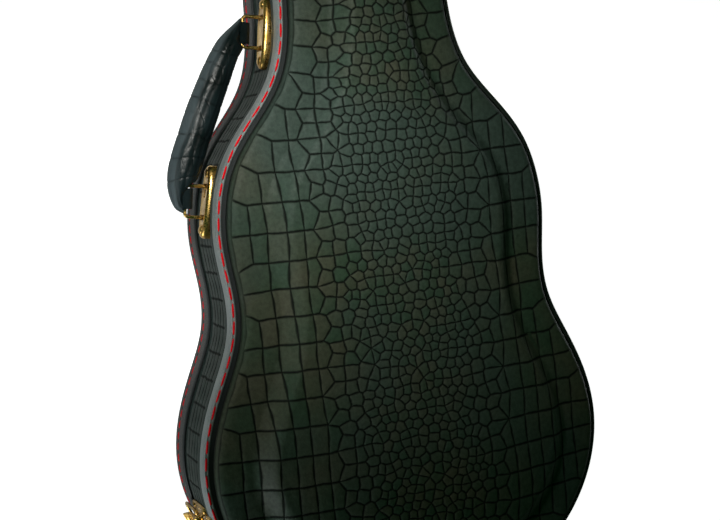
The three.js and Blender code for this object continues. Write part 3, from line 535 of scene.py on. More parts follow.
def makeLidBoard():
    wire, shader = newLook("lidBoard", "plywood")
    at = place3(wire)
    waves = {"Vector": at, "Scale": wood["plies"], "Distortion": 1.5, "Detail": 3.0}
    plies = wire.node("ShaderNodeTexWave", {"bands_direction": "Z"}, waves)
    fine = noise(wire, place3(wire, (1, 1, 6)), wood["fine"], 4.0)
    colour = blend(wire, plies * 0.6 + fine * 0.4, wood["dark"], wood["light"])
    boardTopShade = axisOf(wire, at, 2).span(*wood["topShadeHeights"])  # painted shade: the board's top, seen in the groove, is blended to near-black
    colour = blend(wire, boardTopShade, colour, leather["creaseShade"])
    feed(wire, shader, colour=colour, rough=0.75, normal=bump(wire, fine, 0.4, 0.0004))


makeLeatherette("leatherette", leather["green"], leather["brown"], leather["blue"], leather["specular"])
# painted shade: the side walls take the same croc leather in darker colours
makeLeatherette("wallShadedLeather", *leather["wall"], leather["wallSpecular"])
makeBandLeather("lidBandLeather", band["light"], band["dark"], band["right"])
# painted shade: the rear band takes the band leather in nearly black colours
makeBandLeather("rearBandShadedLeather", band["rearShadedLight"], band["rearShadedDark"])
makeGripLeather()
makeBrass()
makeThread()
makePlush()
makeLidBoard()
print("materials made")

# embossed scales
scales = {
    "row": 16.6, "column": 9.9, "middleColumn": 8.0, "small": 5.7, "smallRows": 3,
    "wideFrom": 53.0, "middleFrom": 35.0, "groove": 0.5, "side": 0.5, "pillow": 0.17, "tilt": 0.05,
    "shortest": 1.5, "square": 3.6, "apart": 3.4, "fromEdge": 3.2,
    "back": {"small": 8.4, "column": 13.5, "middleColumn": 10.5},
}


def circleCentres(at, tris):
    # the middle of the circle through each triangle's corners
    a, b, c = (at[[t[k] for t in tris]] for k in range(3))
    ab, ac = b - a, c - a
    d = 2 * (ab[:, 0] * ac[:, 1] - ab[:, 1] * ac[:, 0])
    d[np.abs(d) < 1e-9] = 1e-9
    bb, cc = (ab ** 2).sum(1), (ac ** 2).sum(1)
    return a + np.column_stack([ac[:, 1] * bb - ab[:, 1] * cc, ab[:, 0] * cc - ac[:, 0] * bb]) / d[:, None]


def cornerGroups(centre, tris, shortest):
    # triangles whose centres nearly meet share one corner
    group = list(range(len(tris)))

    def top(i):
        while group[i] != i:
            group[i] = group[group[i]]
            i = group[i]
        return i

    sides = {}
    for i, tri in enumerate(tris):
        for k in range(3):
            sides.setdefault(tuple(sorted((tri[k], tri[(k + 1) % 3]))), []).append(i)
    for pair in sides.values():
        if len(pair) == 2 and np.linalg.norm(centre[pair[0]] - centre[pair[1]]) < shortest(centre[pair[0]]):
            group[top(pair[0])] = top(pair[1])
    return [top(i) for i in range(len(tris))]


def cellRings(at, tris, isSeed, group):
    # the corners round each seed, in turn
    around = {}
    for i, tri in enumerate(tris):
        for v in tri:
            around.setdefault(v, []).append(i)
    cells = []
    for v, mine in around.items():
        if not isSeed[v]:
            continue
        mid = [np.mean([at[k] for k in tris[i]], axis=0) - at[v] for i in mine]
        order = sorted(range(len(mine)), key=lambda k: math.atan2(mid[k][1], mid[k][0]))
        ring = []
        for k in order:
            key = group[mine[k]]
            if not ring or ring[-1] != key:
                ring.append(key)
        if len(ring) > 1 and ring[0] == ring[-1]:
            ring.pop()
        if len(ring) >= 3:
            cells.append(ring)
    return cells


def scaleMap(seeds, ghosts, shortest, snap):
    # the cells round the seeds: rings of shared corner points, those of the outer edge snapped to it
    plan = [Vector(p) for p in list(seeds) + list(ghosts)]
    verts, _, tris, origin, _, _ = geometry.delaunay_2d_cdt(plan, [], [], 0, 1e-6)
    at = np.array([tuple(v) for v in verts])
    centre = circleCentres(at, tris)
    group = cornerGroups(centre, tris, shortest)
    sums = {}
    for i, key in enumerate(group):
        sums.setdefault(key, []).append(centre[i])
    corner = {key: np.mean(value, axis=0) for key, value in sums.items()}
    cells = cellRings(at, tris, [o[0] < len(seeds) for o in origin], group)
    uses = {}
    for ring in cells:
        for k in range(len(ring)):
            key = tuple(sorted((ring[k], ring[(k + 1) % len(ring)])))
            uses[key] = uses.get(key, 0) + 1
    number = {key: k for k, key in enumerate(corner)}
    spots, outer, inner = list(corner.values()), set(), {}
    for (p, q), times in uses.items():  # each side gets points of its own, a little out of line
        start, end = corner[p], corner[q]
        length = np.linalg.norm(end - start)
        parts = max(1, round(length / (2.7 if length > 7 else 2.0)))
        across = np.array([start[1] - end[1], end[0] - start[0]]) / max(length, 1e-6)
        sway = random.uniform(-1, 1) * min(0.035 * length, 0.45) * (times == 2)
        row = []
        for k in range(1, parts):
            t = k / parts
            aside = sway * math.sin(math.pi * t) + random.uniform(-0.12, 0.12) * (times == 2)
            row.append(len(spots))
            spots.append(start + (end - start) * t + across * aside)
        inner[(p, q)] = row
        if times == 1:
            outer.update(row + [number[p], number[q]])
    rings = []
    for ring in cells:
        full = []
        for k in range(len(ring)):
            p, q = ring[k], ring[(k + 1) % len(ring)]
            row = inner[tuple(sorted((p, q)))]
            full += [number[p]] + (row if p < q else row[::-1])
        rings.append(full)
    spots = np.array(spots)
    for i in outer:
        spots[i] = snap(spots[i])
    return spots, rings, outer


def ringFaces(low, high, turned=False):
    # the faces between two rings of point numbers
    n = len(low)
    if turned:
        return [(low[(k + 1) % n], low[k], high[k], high[(k + 1) % n]) for k in range(n)]
    return [(low[k], low[(k + 1) % n], high[(k + 1) % n], high[k]) for k in range(n)]


def scaleSurface(spots, rings):
    # every cell becomes a low pillow inside its groove: flat places, depths, painted crease shade, tint and
    # faces
    flat = [tuple(p) for p in spots]
    depth, creaseShade, tint = [-scales["groove"]] * len(flat), [1.0] * len(flat), [0.5] * len(flat)
    faces = []
    for ring in rings:
        n = len(ring)
        shape = spots[ring]
        middle = shape.mean(axis=0)
        reach = np.linalg.norm(shape - middle, axis=1)
        size = reach.mean()
        side = scales["side"] * min(1, 0.42 + size / 12)
        swell = scales["pillow"] * min(1.3, 5.5 / size)
        shade, tilt = random.random(), random.uniform(-scales["tilt"], scales["tilt"])
        steep, flatter = (np.maximum(1 - inset / np.maximum(reach, 0.1), 0.5)
                          for inset in (side, side + min(0.7, 0.16 * size)))
        low = ring
        for share, z, dark in ((steep, -0.05, 0.75), (flatter, swell * 0.6, 0.0),
                               (np.full(n, 0.45), swell, 0.0)):
            high = list(range(len(flat), len(flat) + n))
            flat += [tuple(p) for p in middle + (shape - middle) * share[:, None]]
            depth += [z + tilt] * n
            creaseShade += [dark] * n
            tint += [shade] * n
            faces += ringFaces(low, high)
            low = high
        flat.append(tuple(middle))
        depth.append(swell + tilt)
        creaseShade.append(0.0)
        tint.append(shade)
        faces += [(low[k], low[(k + 1) % n], len(flat) - 1) for k in range(n)]
    return np.array(flat), np.array(depth), creaseShade, tint, faces


def addValues(data, key, numbers):
    data.attributes.new(key, "FLOAT", "POINT").data.foreach_set("value", numbers)


def meshFrom(name, points, faces, values=None):
    used = sorted({i for face in faces for i in face})  # corners of cells beyond the edge belong to no face
    new = {old: k for k, old in enumerate(used)}
    data = bpy.data.meshes.new(name)
    places = [tuple(p) for p in np.asarray(points)[used] * mm]
    data.from_pydata(places, [], [[new[i] for i in face] for face in faces])
    for key, numbers in (values or {}).items():
        addValues(data, key, np.array(numbers, np.float32)[used])
    data.update()
    made = bpy.data.objects.new(name, data)
    bpy.context.scene.collection.objects.link(made)
    return made


def edgeLoop(faces):
    # the outer edge as one loop of points, in the turn of the faces
    seen = {(face[k], face[(k + 1) % len(face)]) for face in faces for k in range(len(face))}
    following = {p: q for p, q in seen if (q, p) not in seen}
    start = min(following)
    loop = [start]
    while following[loop[-1]] != start:
        loop.append(following[loop[-1]])
    return loop


def panelSeeds(edgeInset, s):
    # rows of wide scales at the sides, middling ones beside them and small ones down the middle
    random.seed(7)
    seeds = []
    y, row = outline["y"]["tail"] + 3, 0
    while y < outline["y"]["end"] - 4:
        tall = s["row"] * (1 + 0.12 * math.sin(row * 2.3) + random.uniform(-0.05, 0.05))
        middle = y + tall / 2
        wide = float(halfWidth(middle)) - edgeInset
        for side in (-1, 1):
            wideFrom, middleFrom = wide - 15, wide - 30
            if wide > 78:
                wideFrom = s["wideFrom"] + 0.8 * math.sin(row * 1.7 + side)
                middleFrom = s["middleFrom"] + 4 * math.sin(row * 1.3 + side)
            x = wideFrom + s["column"] / 2
            first = True
            while x < wide + s["column"]:
                sway = 0.9 * math.sin(x / 31 + row * 0.7 + side)
                pitch = s["column"] * (0.72 if first else 1)
                seeds.append((side * (x - (s["column"] * 0.2 if first else 0)) + random.uniform(-0.35, 0.35),
                              middle + sway + random.uniform(-0.25, 0.25)))
                x += pitch
                first = False
            for part in (0, 1):
                x = wideFrom - s["middleColumn"] / 2 - part * 1.5
                while x > middleFrom:
                    seeds.append((side * x + random.uniform(-1.0, 1.0), y + tall * (0.27 + 0.46 * part)
                                  + random.uniform(-1.1, 1.1)))
                    x -= s["middleColumn"]
            for part in range(s["smallRows"]):
                x = s["small"] / 2 * (0.5 + part % 2)
                while x < min(middleFrom, wide):
                    seeds.append((side * x + random.uniform(-1.5, 1.5),
                                  y + tall * (part + 0.5) / s["smallRows"] + random.uniform(-1.3, 1.3)))
                    x += s["small"]
        y += tall
        row += 1
    kept, grid, apart = [], {}, s["apart"]
    for p in np.array(seeds):
        i, deep = rimSpot(p)
        if (p - fineRim[i]) @ fineIn[i] <= 0 or deep <= edgeInset + s["fromEdge"]:
            continue
        cell = (int(p[0] // apart), int(p[1] // apart))
        near = [q for i in (-1, 0, 1) for j in (-1, 0, 1) for q in grid.get((cell[0] + i, cell[1] + j), [])]
        if all((p[0] - q[0]) ** 2 + (p[1] - q[1]) ** 2 > apart ** 2 for q in near):
            kept.append(p)
            grid.setdefault(cell, []).append(p)
    return np.array(kept)


def mirrored(seeds, edgeInset, reach=26):
    # seeds near the edge are repeated beyond it, so that the cells end at the edge
    ghosts = []
    for p in seeds:
        i, deep = rimSpot(p)
        if deep < edgeInset + reach:
            edge = fineRim[i] + fineIn[i] * edgeInset
            ghosts.append(2 * edge - p)
    return ghosts


def snapTo(edgeInset):
    def snap(p):
        i = rimSpot(p)[0]
        return fineRim[i] + fineIn[i] * edgeInset
    return snap


def normalsOn(flat, height):
    step = 0.4
    dx = (height(flat + [step, 0]) - height(flat - [step, 0])) / (2 * step)
    dy = (height(flat + [0, step]) - height(flat - [0, step])) / (2 * step)
    up = np.column_stack([-dx, -dy, np.ones(len(flat))])
    return up / np.linalg.norm(up, axis=1)[:, None]


def squareFrom(p):
    # the large scales meet four at a corner, so their short sides are closed up
    wide = min(scales["wideFrom"] - 4, max(float(halfWidth(p[1])) - 22, 0))
    return scales["square"] if abs(p[0]) > wide else scales["shortest"]


def scaleSheet(edgeInset, sizes):
    seeds = panelSeeds(edgeInset, sizes)
    spots, rings, _ = scaleMap(seeds, mirrored(seeds, edgeInset), squareFrom, snapTo(edgeInset))
    return seeds, *scaleSurface(spots, rings)


def addSide(points, creaseShade, tint, faces, loop, rows, turned=False):
    # rings of points follow the outline, from the sheet's outer edge over its side
    column = [rimSpot(points[i])[0] for i in loop]
    low = loop
    for inset, z, dark in rows:
        high = list(range(len(points), len(points) + len(loop)))
        for i in column:
            x, y = fineRim[i] + fineIn[i] * inset
            points.append((x, y, z))
        creaseShade.extend([dark] * len(loop))
        tint.extend([0.35] * len(loop))
        faces.extend(ringFaces(low, high, turned))
        low = high
    return low


lidPanel = {"inset": 1.1, "thick": 5, "edgeCreaseShade": 0.45, "innerFrom": 14}


def makeLidPanel():
    h, side, under = heights, heights["panelInset"], heights["edge"] - lidPanel["thick"]
    seeds, flat, depth, creaseShade, tint, faces = scaleSheet(side + lidPanel["inset"], scales)
    points = np.column_stack([flat, archHeight(flat)]) + normalsOn(flat, archHeight) * depth[:, None]
    points = [tuple(p) for p in points]
    loop = edgeLoop(faces)
    for i in loop:  # the outer edge is no deep crease: it goes on over the rounded side, with less painted crease shade
        creaseShade[i] = lidPanel["edgeCreaseShade"]
        points[i] = (flat[i][0], flat[i][1], float(archHeight([flat[i]])[0]))
    # painted shade: the crease shade grows to full at the foot of the panel's side, where the groove lies in
    # shadow
    rows = ((side + 0.5, h["edge"] - 2.4, 0.2), (side + 0.12, h["edge"] - 3.4, 0.35),
            (side, h["edge"] - 4.8, 0.6), (side, h["panel"] + 0.6, 0.95), (side + 0.5, h["panel"], 1.0),
            (11, h["panel"], 0.0), (11.2, under, 0.0))
    low = addSide(points, creaseShade, tint, faces, loop, rows, turned=True)
    # the inner face: the seeds well inside, joined to the last ring
    inner = np.array([p for p in seeds if rimSpot(p)[1] > lidPanel["innerFrom"]][::3])
    ids = low + list(range(len(points), len(points) + len(inner)))
    points += [(x, y, z) for (x, y), z in zip(inner, archHeight(inner) - lidPanel["thick"])]
    creaseShade += [0.0] * len(inner)
    tint += [0.3] * len(inner)
    plan = [Vector(points[i][:2]) for i in low] + [Vector(p) for p in inner]
    edge = [(k, (k + 1) % len(low)) for k in range(len(low))]
    _, _, tris, origin, _, _ = geometry.delaunay_2d_cdt(plan, edge, [], 1, 1e-7)
    name = [ids[o[0]] for o in origin]
    faces += [tuple(name[k] for k in reversed(tri)) for tri in tris]
    made = meshFrom("lidPanelScales", points, faces, {"creaseShade": creaseShade, "tint": tint})
    return finish(made, "leatherette", "lid", "lid_panel")


makeLidPanel()
print("lid panel made")

# the edge bands, with a shallow channel for their stitches
bandForm = {"channel": 1.75, "channelHalf": 0.62, "channelDepth": 0.32, "bulge": 0.28, "rearChannel": 13.0,
            "rearTop": 25.6, "lightFrom": 71.4}


def makeBands():
    h, b = heights, bandForm
    top, start = h["front"], b["lightFrom"]
    low, mid = b["channel"] - b["channelHalf"], b["channel"]
    # the light band is the upper part of the lid's side; the covering under it is as dark as the wall's,
    # whose leather is darkened as painted shade
    lid = [(0.45, start), (0.02, start + 0.4), (-b["bulge"] * 0.5, 74), (-b["bulge"] * 0.4, 77), (0.1, 79.4),
           (0.75, top - 0.28), (low - 0.05, top - 0.02), (low + 0.22, top - b["channelDepth"]),
           (mid + 0.35, top - b["channelDepth"]), (mid + b["channelHalf"], top), (2.95, top - 0.04),
           (3.4, top - 0.5), (3.5, 79.9), (1.4, 79.9), (1.35, start + 0.1)]
    under = [(1.35, h["lid"] + 0.1), (0.5, h["lid"]), (0.12, h["lid"] + 0.5), (0.1, start - 0.7),
             (0.5, start - 0.1), (1.35, start)]
    floor = [(3.6, 79.7), (6.4, 79.7), (6.4, 80.2), (3.6, 80.2)]  # a near-black strip between the band and the top: painted shade in the groove
    z, rearTop = b["rearChannel"], b["rearTop"]
    rear = [(1.6, rearTop), (1.05, rearTop - 0.4), (0.75, rearTop - 2), (0.72, 19), (0.75, 16),
            (0.85, z + 0.8), (1.2, z + 0.4), (1.2, z - 0.4), (0.88, z - 0.8), (0.9, 7.5), (1.1, 5.4),
            (1.7, 4.3), (2.6, 4.0), (6.0, 4.0), (6.0, 5.2), (2.2, 5.2), (2.2, rearTop)]
    finish(sweepRim("lidBandLeather", rounded(lid, 0.4, 2)), "lidBandLeather", "lid", "lid_band", angle=50)
    finish(sweepRim("lidSideLeather", rounded(under, 0.3, 2)), "wallShadedLeather", "lid", "lid_band", angle=50)
    finish(sweepRim("grooveShadeStrip", floor), "rearBandShadedLeather", "lid", "lid_band", angle=50)
    rearBand = sweepRim("rearBandShadedLeather", rounded(rear, 0.5, 2))
    finish(rearBand, "rearBandShadedLeather", "base", "rear_band", angle=50)


makeBands()
print("bands made")

stitch = {
    "front": {"inset": bandForm["channel"], "z": 80.95, "pitch": 10.2, "long": 8.5, "wide": 1.35,
              "until": 24},
    "rear": {"inset": 1.0, "z": bandForm["rearChannel"], "pitch": 7.0, "long": 5.4, "wide": 1.5,
             "until": 999},
}


def rimPlaces(inset, pitch):
    closed, run = closedRun(fineRim + fineIn * inset)
    count = round(run[-1] / pitch)
    at = (np.arange(count) + 0.5) * run[-1] / count
    place, ahead = placesAt(closed, run, at), placesAt(closed, run, (at + 1) % run[-1])
    return place, (ahead - place) / np.linalg.norm(ahead - place, axis=1)[:, None]


def makeStitches(name, body, upwards, inset, z, pitch, long, wide, until):
    # one stitch is modelled, then repeated in one mesh, because the run has hundreds
    deselect()
    bpy.ops.mesh.primitive_uv_sphere_add(segments=8, ring_count=6, radius=0.5)
    one = bpy.context.object
    shape = np.array([v.co for v in one.data.vertices])[:, [2, 0, 1]]
    oneFaces = [list(p.vertices) for p in one.data.polygons]
    bpy.data.objects.remove(one)
    shape[:, 0] = np.sign(shape[:, 0]) * np.abs(shape[:, 0] * 2) ** 0.55 / 2
    rng = random.Random(len(name))
    points, faces = [], []
    for (x, y), (u, v) in zip(*rimPlaces(inset, pitch)):
        if x > until:
            continue
        side, away = Vector((0, 0, 1)), Vector((v, -u, 0))
        if upwards:
            side, away = Vector((-v, u, 0)), Vector((0, 0, 1))
        ahead = (Vector((u, v, 0)) + side * rng.uniform(-0.035, 0.035)).normalized()
        size = long * rng.uniform(0.94, 1.02)
        first = len(points)
        for a, b, c in shape:
            out = c * wide * 0.8 - 0.18 * (2 * a) ** 2  # its ends dip into the leather
            points.append(Vector((x, y, z)) + ahead * (a * size) + side * (b * wide) + away * out)
        faces += [[first + i for i in face] for face in oneFaces]
    return finish(meshFrom(name, points, faces), "thread", body)


makeStitches("lidStitches", "lid", True, **stitch["front"])  # none at the hinges
makeStitches("rearStitches", "base", False, **stitch["rear"])
print("stitches made")

# the side wall: scales on a strip as long as the wall, which is bent round the outline
wall = {"inset": 1.5, "low": 33.3, "high": 66, "row": 16.4, "column": 6.1, "lap": 40, "snap": 1.2}


def makeWallScales():
    random.seed(11)
    closed, run = closedRun(fineRim + fineIn * wall["inset"])
    length, tall = run[-1], wall["high"] - wall["low"]
    count, rows = round(length / wall["row"]), round(tall / wall["column"])
    pitch = length / count
    seeds = []
    for i in range(count):
        shift = random.uniform(-1.2, 1.2)
        for j in range(rows):
            seeds.append((i * pitch + pitch / 2 + random.uniform(-0.5, 0.5), (j + 0.5) * tall / rows
                          + shift * math.sin(math.pi * (j + 0.5) / rows) + random.uniform(-0.5, 0.5)))
    seeds = np.array(seeds)
    near = seeds[seeds[:, 0] < wall["lap"]] + [length, 0]
    far = seeds[seeds[:, 0] > length - wall["lap"]] - [length, 0]
    ghosts = [tuple(p) for p in near] + [tuple(p) for p in far]
    for p in list(seeds) + list(near) + list(far):
        ghosts += [(p[0], -p[1]), (p[0], 2 * tall - p[1])]
    spots, rings, outer = scaleMap(seeds, ghosts, lambda p: scales["shortest"], lambda p: p)
    for i in outer:
        if spots[i][1] < wall["snap"]:
            spots[i][1] = 0.0
        elif spots[i][1] > tall - wall["snap"]:
            spots[i][1] = tall
    flat, depth, creaseShade, tint, faces = scaleSurface(spots, rings)
    place = placesAt(closed, run, np.mod(flat[:, 0], length))
    inward = fineIn[[rimSpot(p)[0] for p in place]]
    points = np.column_stack([place - inward * depth[:, None], flat[:, 1] + wall["low"]])
    made = meshFrom("wallScales", points, faces, {"creaseShade": creaseShade, "tint": tint})
    return finish(made, "wallShadedLeather", "base", "base_rim")


makeWallScales()


def makeWallCore():
    # what carries the covering: the groove over the rear band, the wall's edges and its inner face
    form = [(2.6, 25.5), (3.3, 25.9), (3.75, 26.7), (3.75, 31.8), (3.2, 32.7), (2.0, 33.15), (1.98, 34.2),
            (2.4, 35), (2.4, 64.6), (1.96, 65.2), (1.98, 65.75), (2.35, 66), (3.1, 66), (7.5, 66), (7.5, 5.6),
            (2.6, 5.6)]
    return finish(sweepRim("wallCore", form), "wallShadedLeather", "base", "base_rim", angle=60)


makeWallCore()
print("wall made")


def along(frameOf, points):
    origin, x, y = (Vector(v) for v in frameOf)
    x, y = x.normalized(), y.normalized()
    z = x.cross(y)
    return [origin + x * a + y * b + z * c for a, b, c in points]


def jointFrame(name):
    # origin and directions of a joint's moving piece: x along its pin, y away from the wall
    joint = next(j for j in frame["joints"] if j["name"] == name)
    x = Vector(joint["axis"])
    return [Vector(joint["pos_m"]) / mm, x, Vector((-x.y, x.x, 0))]


def tube(name, path, radius, sides=12, closed=True):
    rings = []
    count = len(path)
    side = None
    for k, p in enumerate(path):
        before = path[k - 1] if closed or k else p
        after = path[(k + 1) % count] if closed or k < count - 1 else p
        way = (Vector(after) - Vector(before)).normalized()
        side = (side or way.orthogonal()).cross(way).cross(way).normalized() * -1
        up = way.cross(side)
        rings.append([Vector(p) + (side * math.cos(t) + up * math.sin(t)) * radius
                      for t in (2 * math.pi * i / sides for i in range(sides))])
    return sweepRings(name, rings, "wrap" if closed else "cap")


def smoothPath(rows, steps):
    # a smooth run through rows of numbers
    rows = np.array(rows, float)
    done = []
    for k in range(len(rows) - 1):
        a, b, c, d = rows[max(k - 1, 0)], rows[k], rows[k + 1], rows[min(k + 2, len(rows) - 1)]
        for s in range(steps):
            t = s / steps
            done.append(0.5 * (2 * b + (c - a) * t + (2 * a - 5 * b + 4 * c - d) * t * t
                               + (3 * b - a - 3 * c + d) * t ** 3))
    return np.array(done + [rows[-1]])


handle = {
    "wire": 1.1, "width": 18.6, "reach": 13.0, "corner": 2.4,
    "plates": {"upper": ((-56.8407, 247.2648, 57.5), (0.162521, 0.9867051, 0)),
               "lower": ((-103.3944, 150.0986, 57.5), (0.2227345, 0.9748791, 0))},
    "plate": {"long": 44.0, "tall": 15.0, "proud": 3.4, "power": 2.4},
    "rivet": {"place": 17.0, "radius": 2.9, "rise": 1.3},
    # the grip in its own frame: outer and inner edge of each section, half its height and its squareness
    "grip": ((-7.0, -0.9, 1.0, 1.9, 3.4, 2.8), (-6.8, 1.2, 6.6, 3.2, 3.9, 2.8),
             (-6.2, 3.6, 9.4, 3.2, 4.8, 2.6), (-3.4, 7.0, 11.4, 1.6, 6.4, 2.4),
             (1.3, 10.7, 13.0, -1.6, 7.8, 2.3), (6.4, 13.4, 15.8, -2.8, 8.7, 2.2),
             (13.2, 15.4, 21.0, -2.9, 9.3, 2.2), (20.5, 16.3, 26.5, -2.8, 9.6, 2.2),
             (29.0, 16.8, 32.0, -2.7, 9.7, 2.2), (39.6, 17.0, 40.4, -2.5, 9.7, 2.2),
             (58.0, 16.9, 57.4, -2.4, 9.7, 2.2), (67.0, 16.4, 67.6, -2.4, 9.6, 2.2),
             (78.0, 15.4, 78.8, -2.3, 9.4, 2.2), (87.6, 14.4, 89.6, -2.5, 9.0, 2.2),
             (93.4, 13.4, 95.2, -3.2, 8.6, 2.2), (98.2, 12.1, 97.8, -3.4, 8.0, 2.3),
             (103.8, 9.6, 99.2, -0.8, 6.8, 2.4), (109.0, 6.8, 101.4, 0.4, 5.6, 2.6),
             (112.6, 4.9, 104.4, 1.4, 4.4, 2.8), (114.6, 3.9, 108.0, 2.6, 3.2, 2.8)),
    "sides": 64, "steps": 12, "across": 10.4, "acrossDepth": 0.34, "gathered": 22,
    "along": ((0.95, 0.3), (1.55, 0.38), (2.1, 0.42), (-1.2, 0.3), (-2.0, 0.3), (2.75, 0.3)),
    "tabs": {"lower": (-4.6, 7.7), "upper": (-7.4, 5.2)}, "tabInner": 2.9, "tabOuter": 4.5,
}
ringUpper, ringLower = jointFrame("handle_swing"), jointFrame("handle_lower_swing")


def makeRing(name, at):
    half, reach, corner = handle["width"] / 2, handle["reach"], handle["corner"]
    path = []
    for cx, cy, start, ahead in ((half - corner, reach - corner, 0, (-1, 0)),
                                 (corner - half, reach - corner, 90, (0, -1)),
                                 (corner - half, corner, 180, (1, 0)), (half - corner, corner, 270, (0, 1))):
        for step in range(7):
            turn = math.radians(start + step * 15)
            path.append((cx + corner * math.cos(turn), cy + corner * math.sin(turn)))
        x, y = path[-1]
        straight = (2 * half if ahead[0] else reach) - 2 * corner
        path += [(x + ahead[0] * straight * s / 6, y + ahead[1] * straight * s / 6) for s in range(1, 6)]
    random.seed(len(name))
    path = [(x, y + random.uniform(-0.06, 0.06), random.uniform(-0.12, 0.12)) for x, y in path]
    made = tube(name.replace("_", " ").title().replace(" ", "") + "Wire", along(at, path), handle["wire"], 12)
    finish(made, "brass", name, name)


def eased(value, power):
    # a circle's sine or cosine, squared off
    return math.copysign(abs(value) ** (2 / power), value)


def ovalRing(half, tall, y, power, count=56):
    ring = []
    for k in range(count):
        angle = 2 * math.pi * k / count
        ring.append((half * eased(math.cos(angle), power), y, tall * eased(math.sin(angle), power)))
    return ring


def block(low, high, bevel=0.0, segments=2):
    deselect()
    bpy.ops.mesh.primitive_cube_add(size=1)
    made = bpy.context.object
    made.scale = [(b - a) * mm for a, b in zip(low, high)]
    made.location = [(a + b) / 2 * mm for a, b in zip(low, high)]
    bpy.ops.object.transform_apply(location=True, rotation=True, scale=True)
    if bevel:
        modify(made, "BEVEL", width=bevel * mm, segments=segments, limit_method="NONE")
    return made


def dome(place, radius, rise):
    # a rivet's head: the upper half of a flattened ball, facing +y
    deselect()
    bpy.ops.mesh.primitive_uv_sphere_add(segments=24, ring_count=12, radius=radius * mm)
    made = bpy.context.object
    made.scale = (1, rise / radius, 1)
    made.location = Vector(place) * mm
    bpy.ops.object.transform_apply(location=True, rotation=True, scale=True)
    return made


def placeOn(made, at):
    origin, x, y = (Vector(v) for v in at)
    x, y = x.normalized(), y.normalized()
    turned = Matrix((x, y, x.cross(y))).transposed().to_4x4()
    made.data.transform(Matrix.Translation(origin * mm) @ turned)
    return made


def joined(name, *parts):
    deselect()
    for part in parts:
        part.select_set(True)
    bpy.context.view_layer.objects.active = parts[0]
    bpy.ops.object.join()
    parts[0].name = parts[0].data.name = name
    return parts[0]


def carve(made, *tools):
    for tool in tools:
        modify(made, "BOOLEAN", object=tool, operation="DIFFERENCE", solver="EXACT")
        bpy.data.objects.remove(tool)
    return made


def makePlate(end):
    p, r = handle["plate"], handle["rivet"]
    profile = [(0.0, -3.2), (0.0, 0.2), (0.0, 1.1), (0.18, 1.9), (0.55, 2.6), (1.15, 3.15), (1.9, p["proud"]),
               (2.6, p["proud"]), (3.1, p["proud"] - 0.16), (3.7, p["proud"] - 0.22), (5.5, p["proud"] - 0.2)]
    rings = [ovalRing(p["long"] / 2 - inset, p["tall"] / 2 - inset, y, p["power"]) for inset, y in profile]
    plate = sweepRings("plate", rings, "cap")
    half, free = handle["width"] / 2, handle["wire"] + 0.55
    cuts = [block((s * half - free, 0.3, -4.5), (s * half + free, 6, 4.5), 0.5) for s in (-1, 1)]
    cuts.append(block((-half, -0.4, -2.1), (half, 3.0, 2.1)))
    place, direction = handle["plates"][end]
    x = Vector(direction)
    ring = jointFrame("handle_swing" if end == "upper" else "handle_lower_swing")
    turn = math.atan2(ring[1].y, ring[1].x) - math.atan2(x.y, x.x)
    for tool in cuts:
        tool.data.transform(Matrix.Rotation(turn, 4, "Z"))
    plate = carve(plate, *cuts)
    heads = [dome((s * r["place"], p["proud"] - 0.35, 0), r["radius"], r["rise"] + 0.3) for s in (-1, 1)]
    rims = []
    for s in (-1, 1):
        deselect()
        bpy.ops.mesh.primitive_torus_add(major_radius=(r["radius"] + 0.1) * mm, minor_radius=0.22 * mm,
                                         major_segments=24, minor_segments=6, rotation=(math.pi / 2, 0, 0),
                                         location=(s * r["place"] * mm, (p["proud"] - 0.2) * mm, 0))
        bpy.ops.object.transform_apply(location=True, rotation=True, scale=True)
        rims.append(bpy.context.object)
    made = joined("handlePlate" + end.title(), plate, *heads, *rims)
    placeOn(made, [place, x, (-x.y, x.x, 0)])
    finish(made, "brass", "base", "handle_plate_" + end, angle=35)


def gripRelief(s, t, end, lines, phases):
    # how far a point of the grip stands out, and how much painted shade it gets in creases and folds
    depth, dark = 0.0, 0.0
    for place, strong, lean in lines:  # creases across the grip
        gap = s - place - lean * math.sin(t + place) - 0.5 * math.sin(2 * t + place * 3)
        dent = math.exp(-(gap / 0.55) ** 2) * strong
        depth -= handle["acrossDepth"] * dent
        dark = max(dark, dent * 0.75)
    for angle, strong in handle["along"]:  # creases along it
        gap = (t - angle + math.pi) % (2 * math.pi) - math.pi
        gap += 0.07 * math.sin(s * 0.11 + angle * 5) + 0.03 * math.sin(s * 0.37 + angle * 9)
        dent = math.exp(-(gap / 0.075) ** 2)
        depth -= strong * dent
        dark = max(dark, dent * 0.55)
    near = max(0.0, 1 - end / handle["gathered"])  # gathered folds towards the ends
    fold = sum(math.sin(n * t + phases[n] + 0.09 * s * math.sin(phases[n + 8])) for n in (7, 11, 16)) / 3
    depth += 0.62 * near * fold + 0.10 * math.sin(s * 0.23 + 3 * math.sin(t * 2 + 1)) * (1 - near)
    return depth, max(dark, near * max(0.0, -fold) * 0.8)


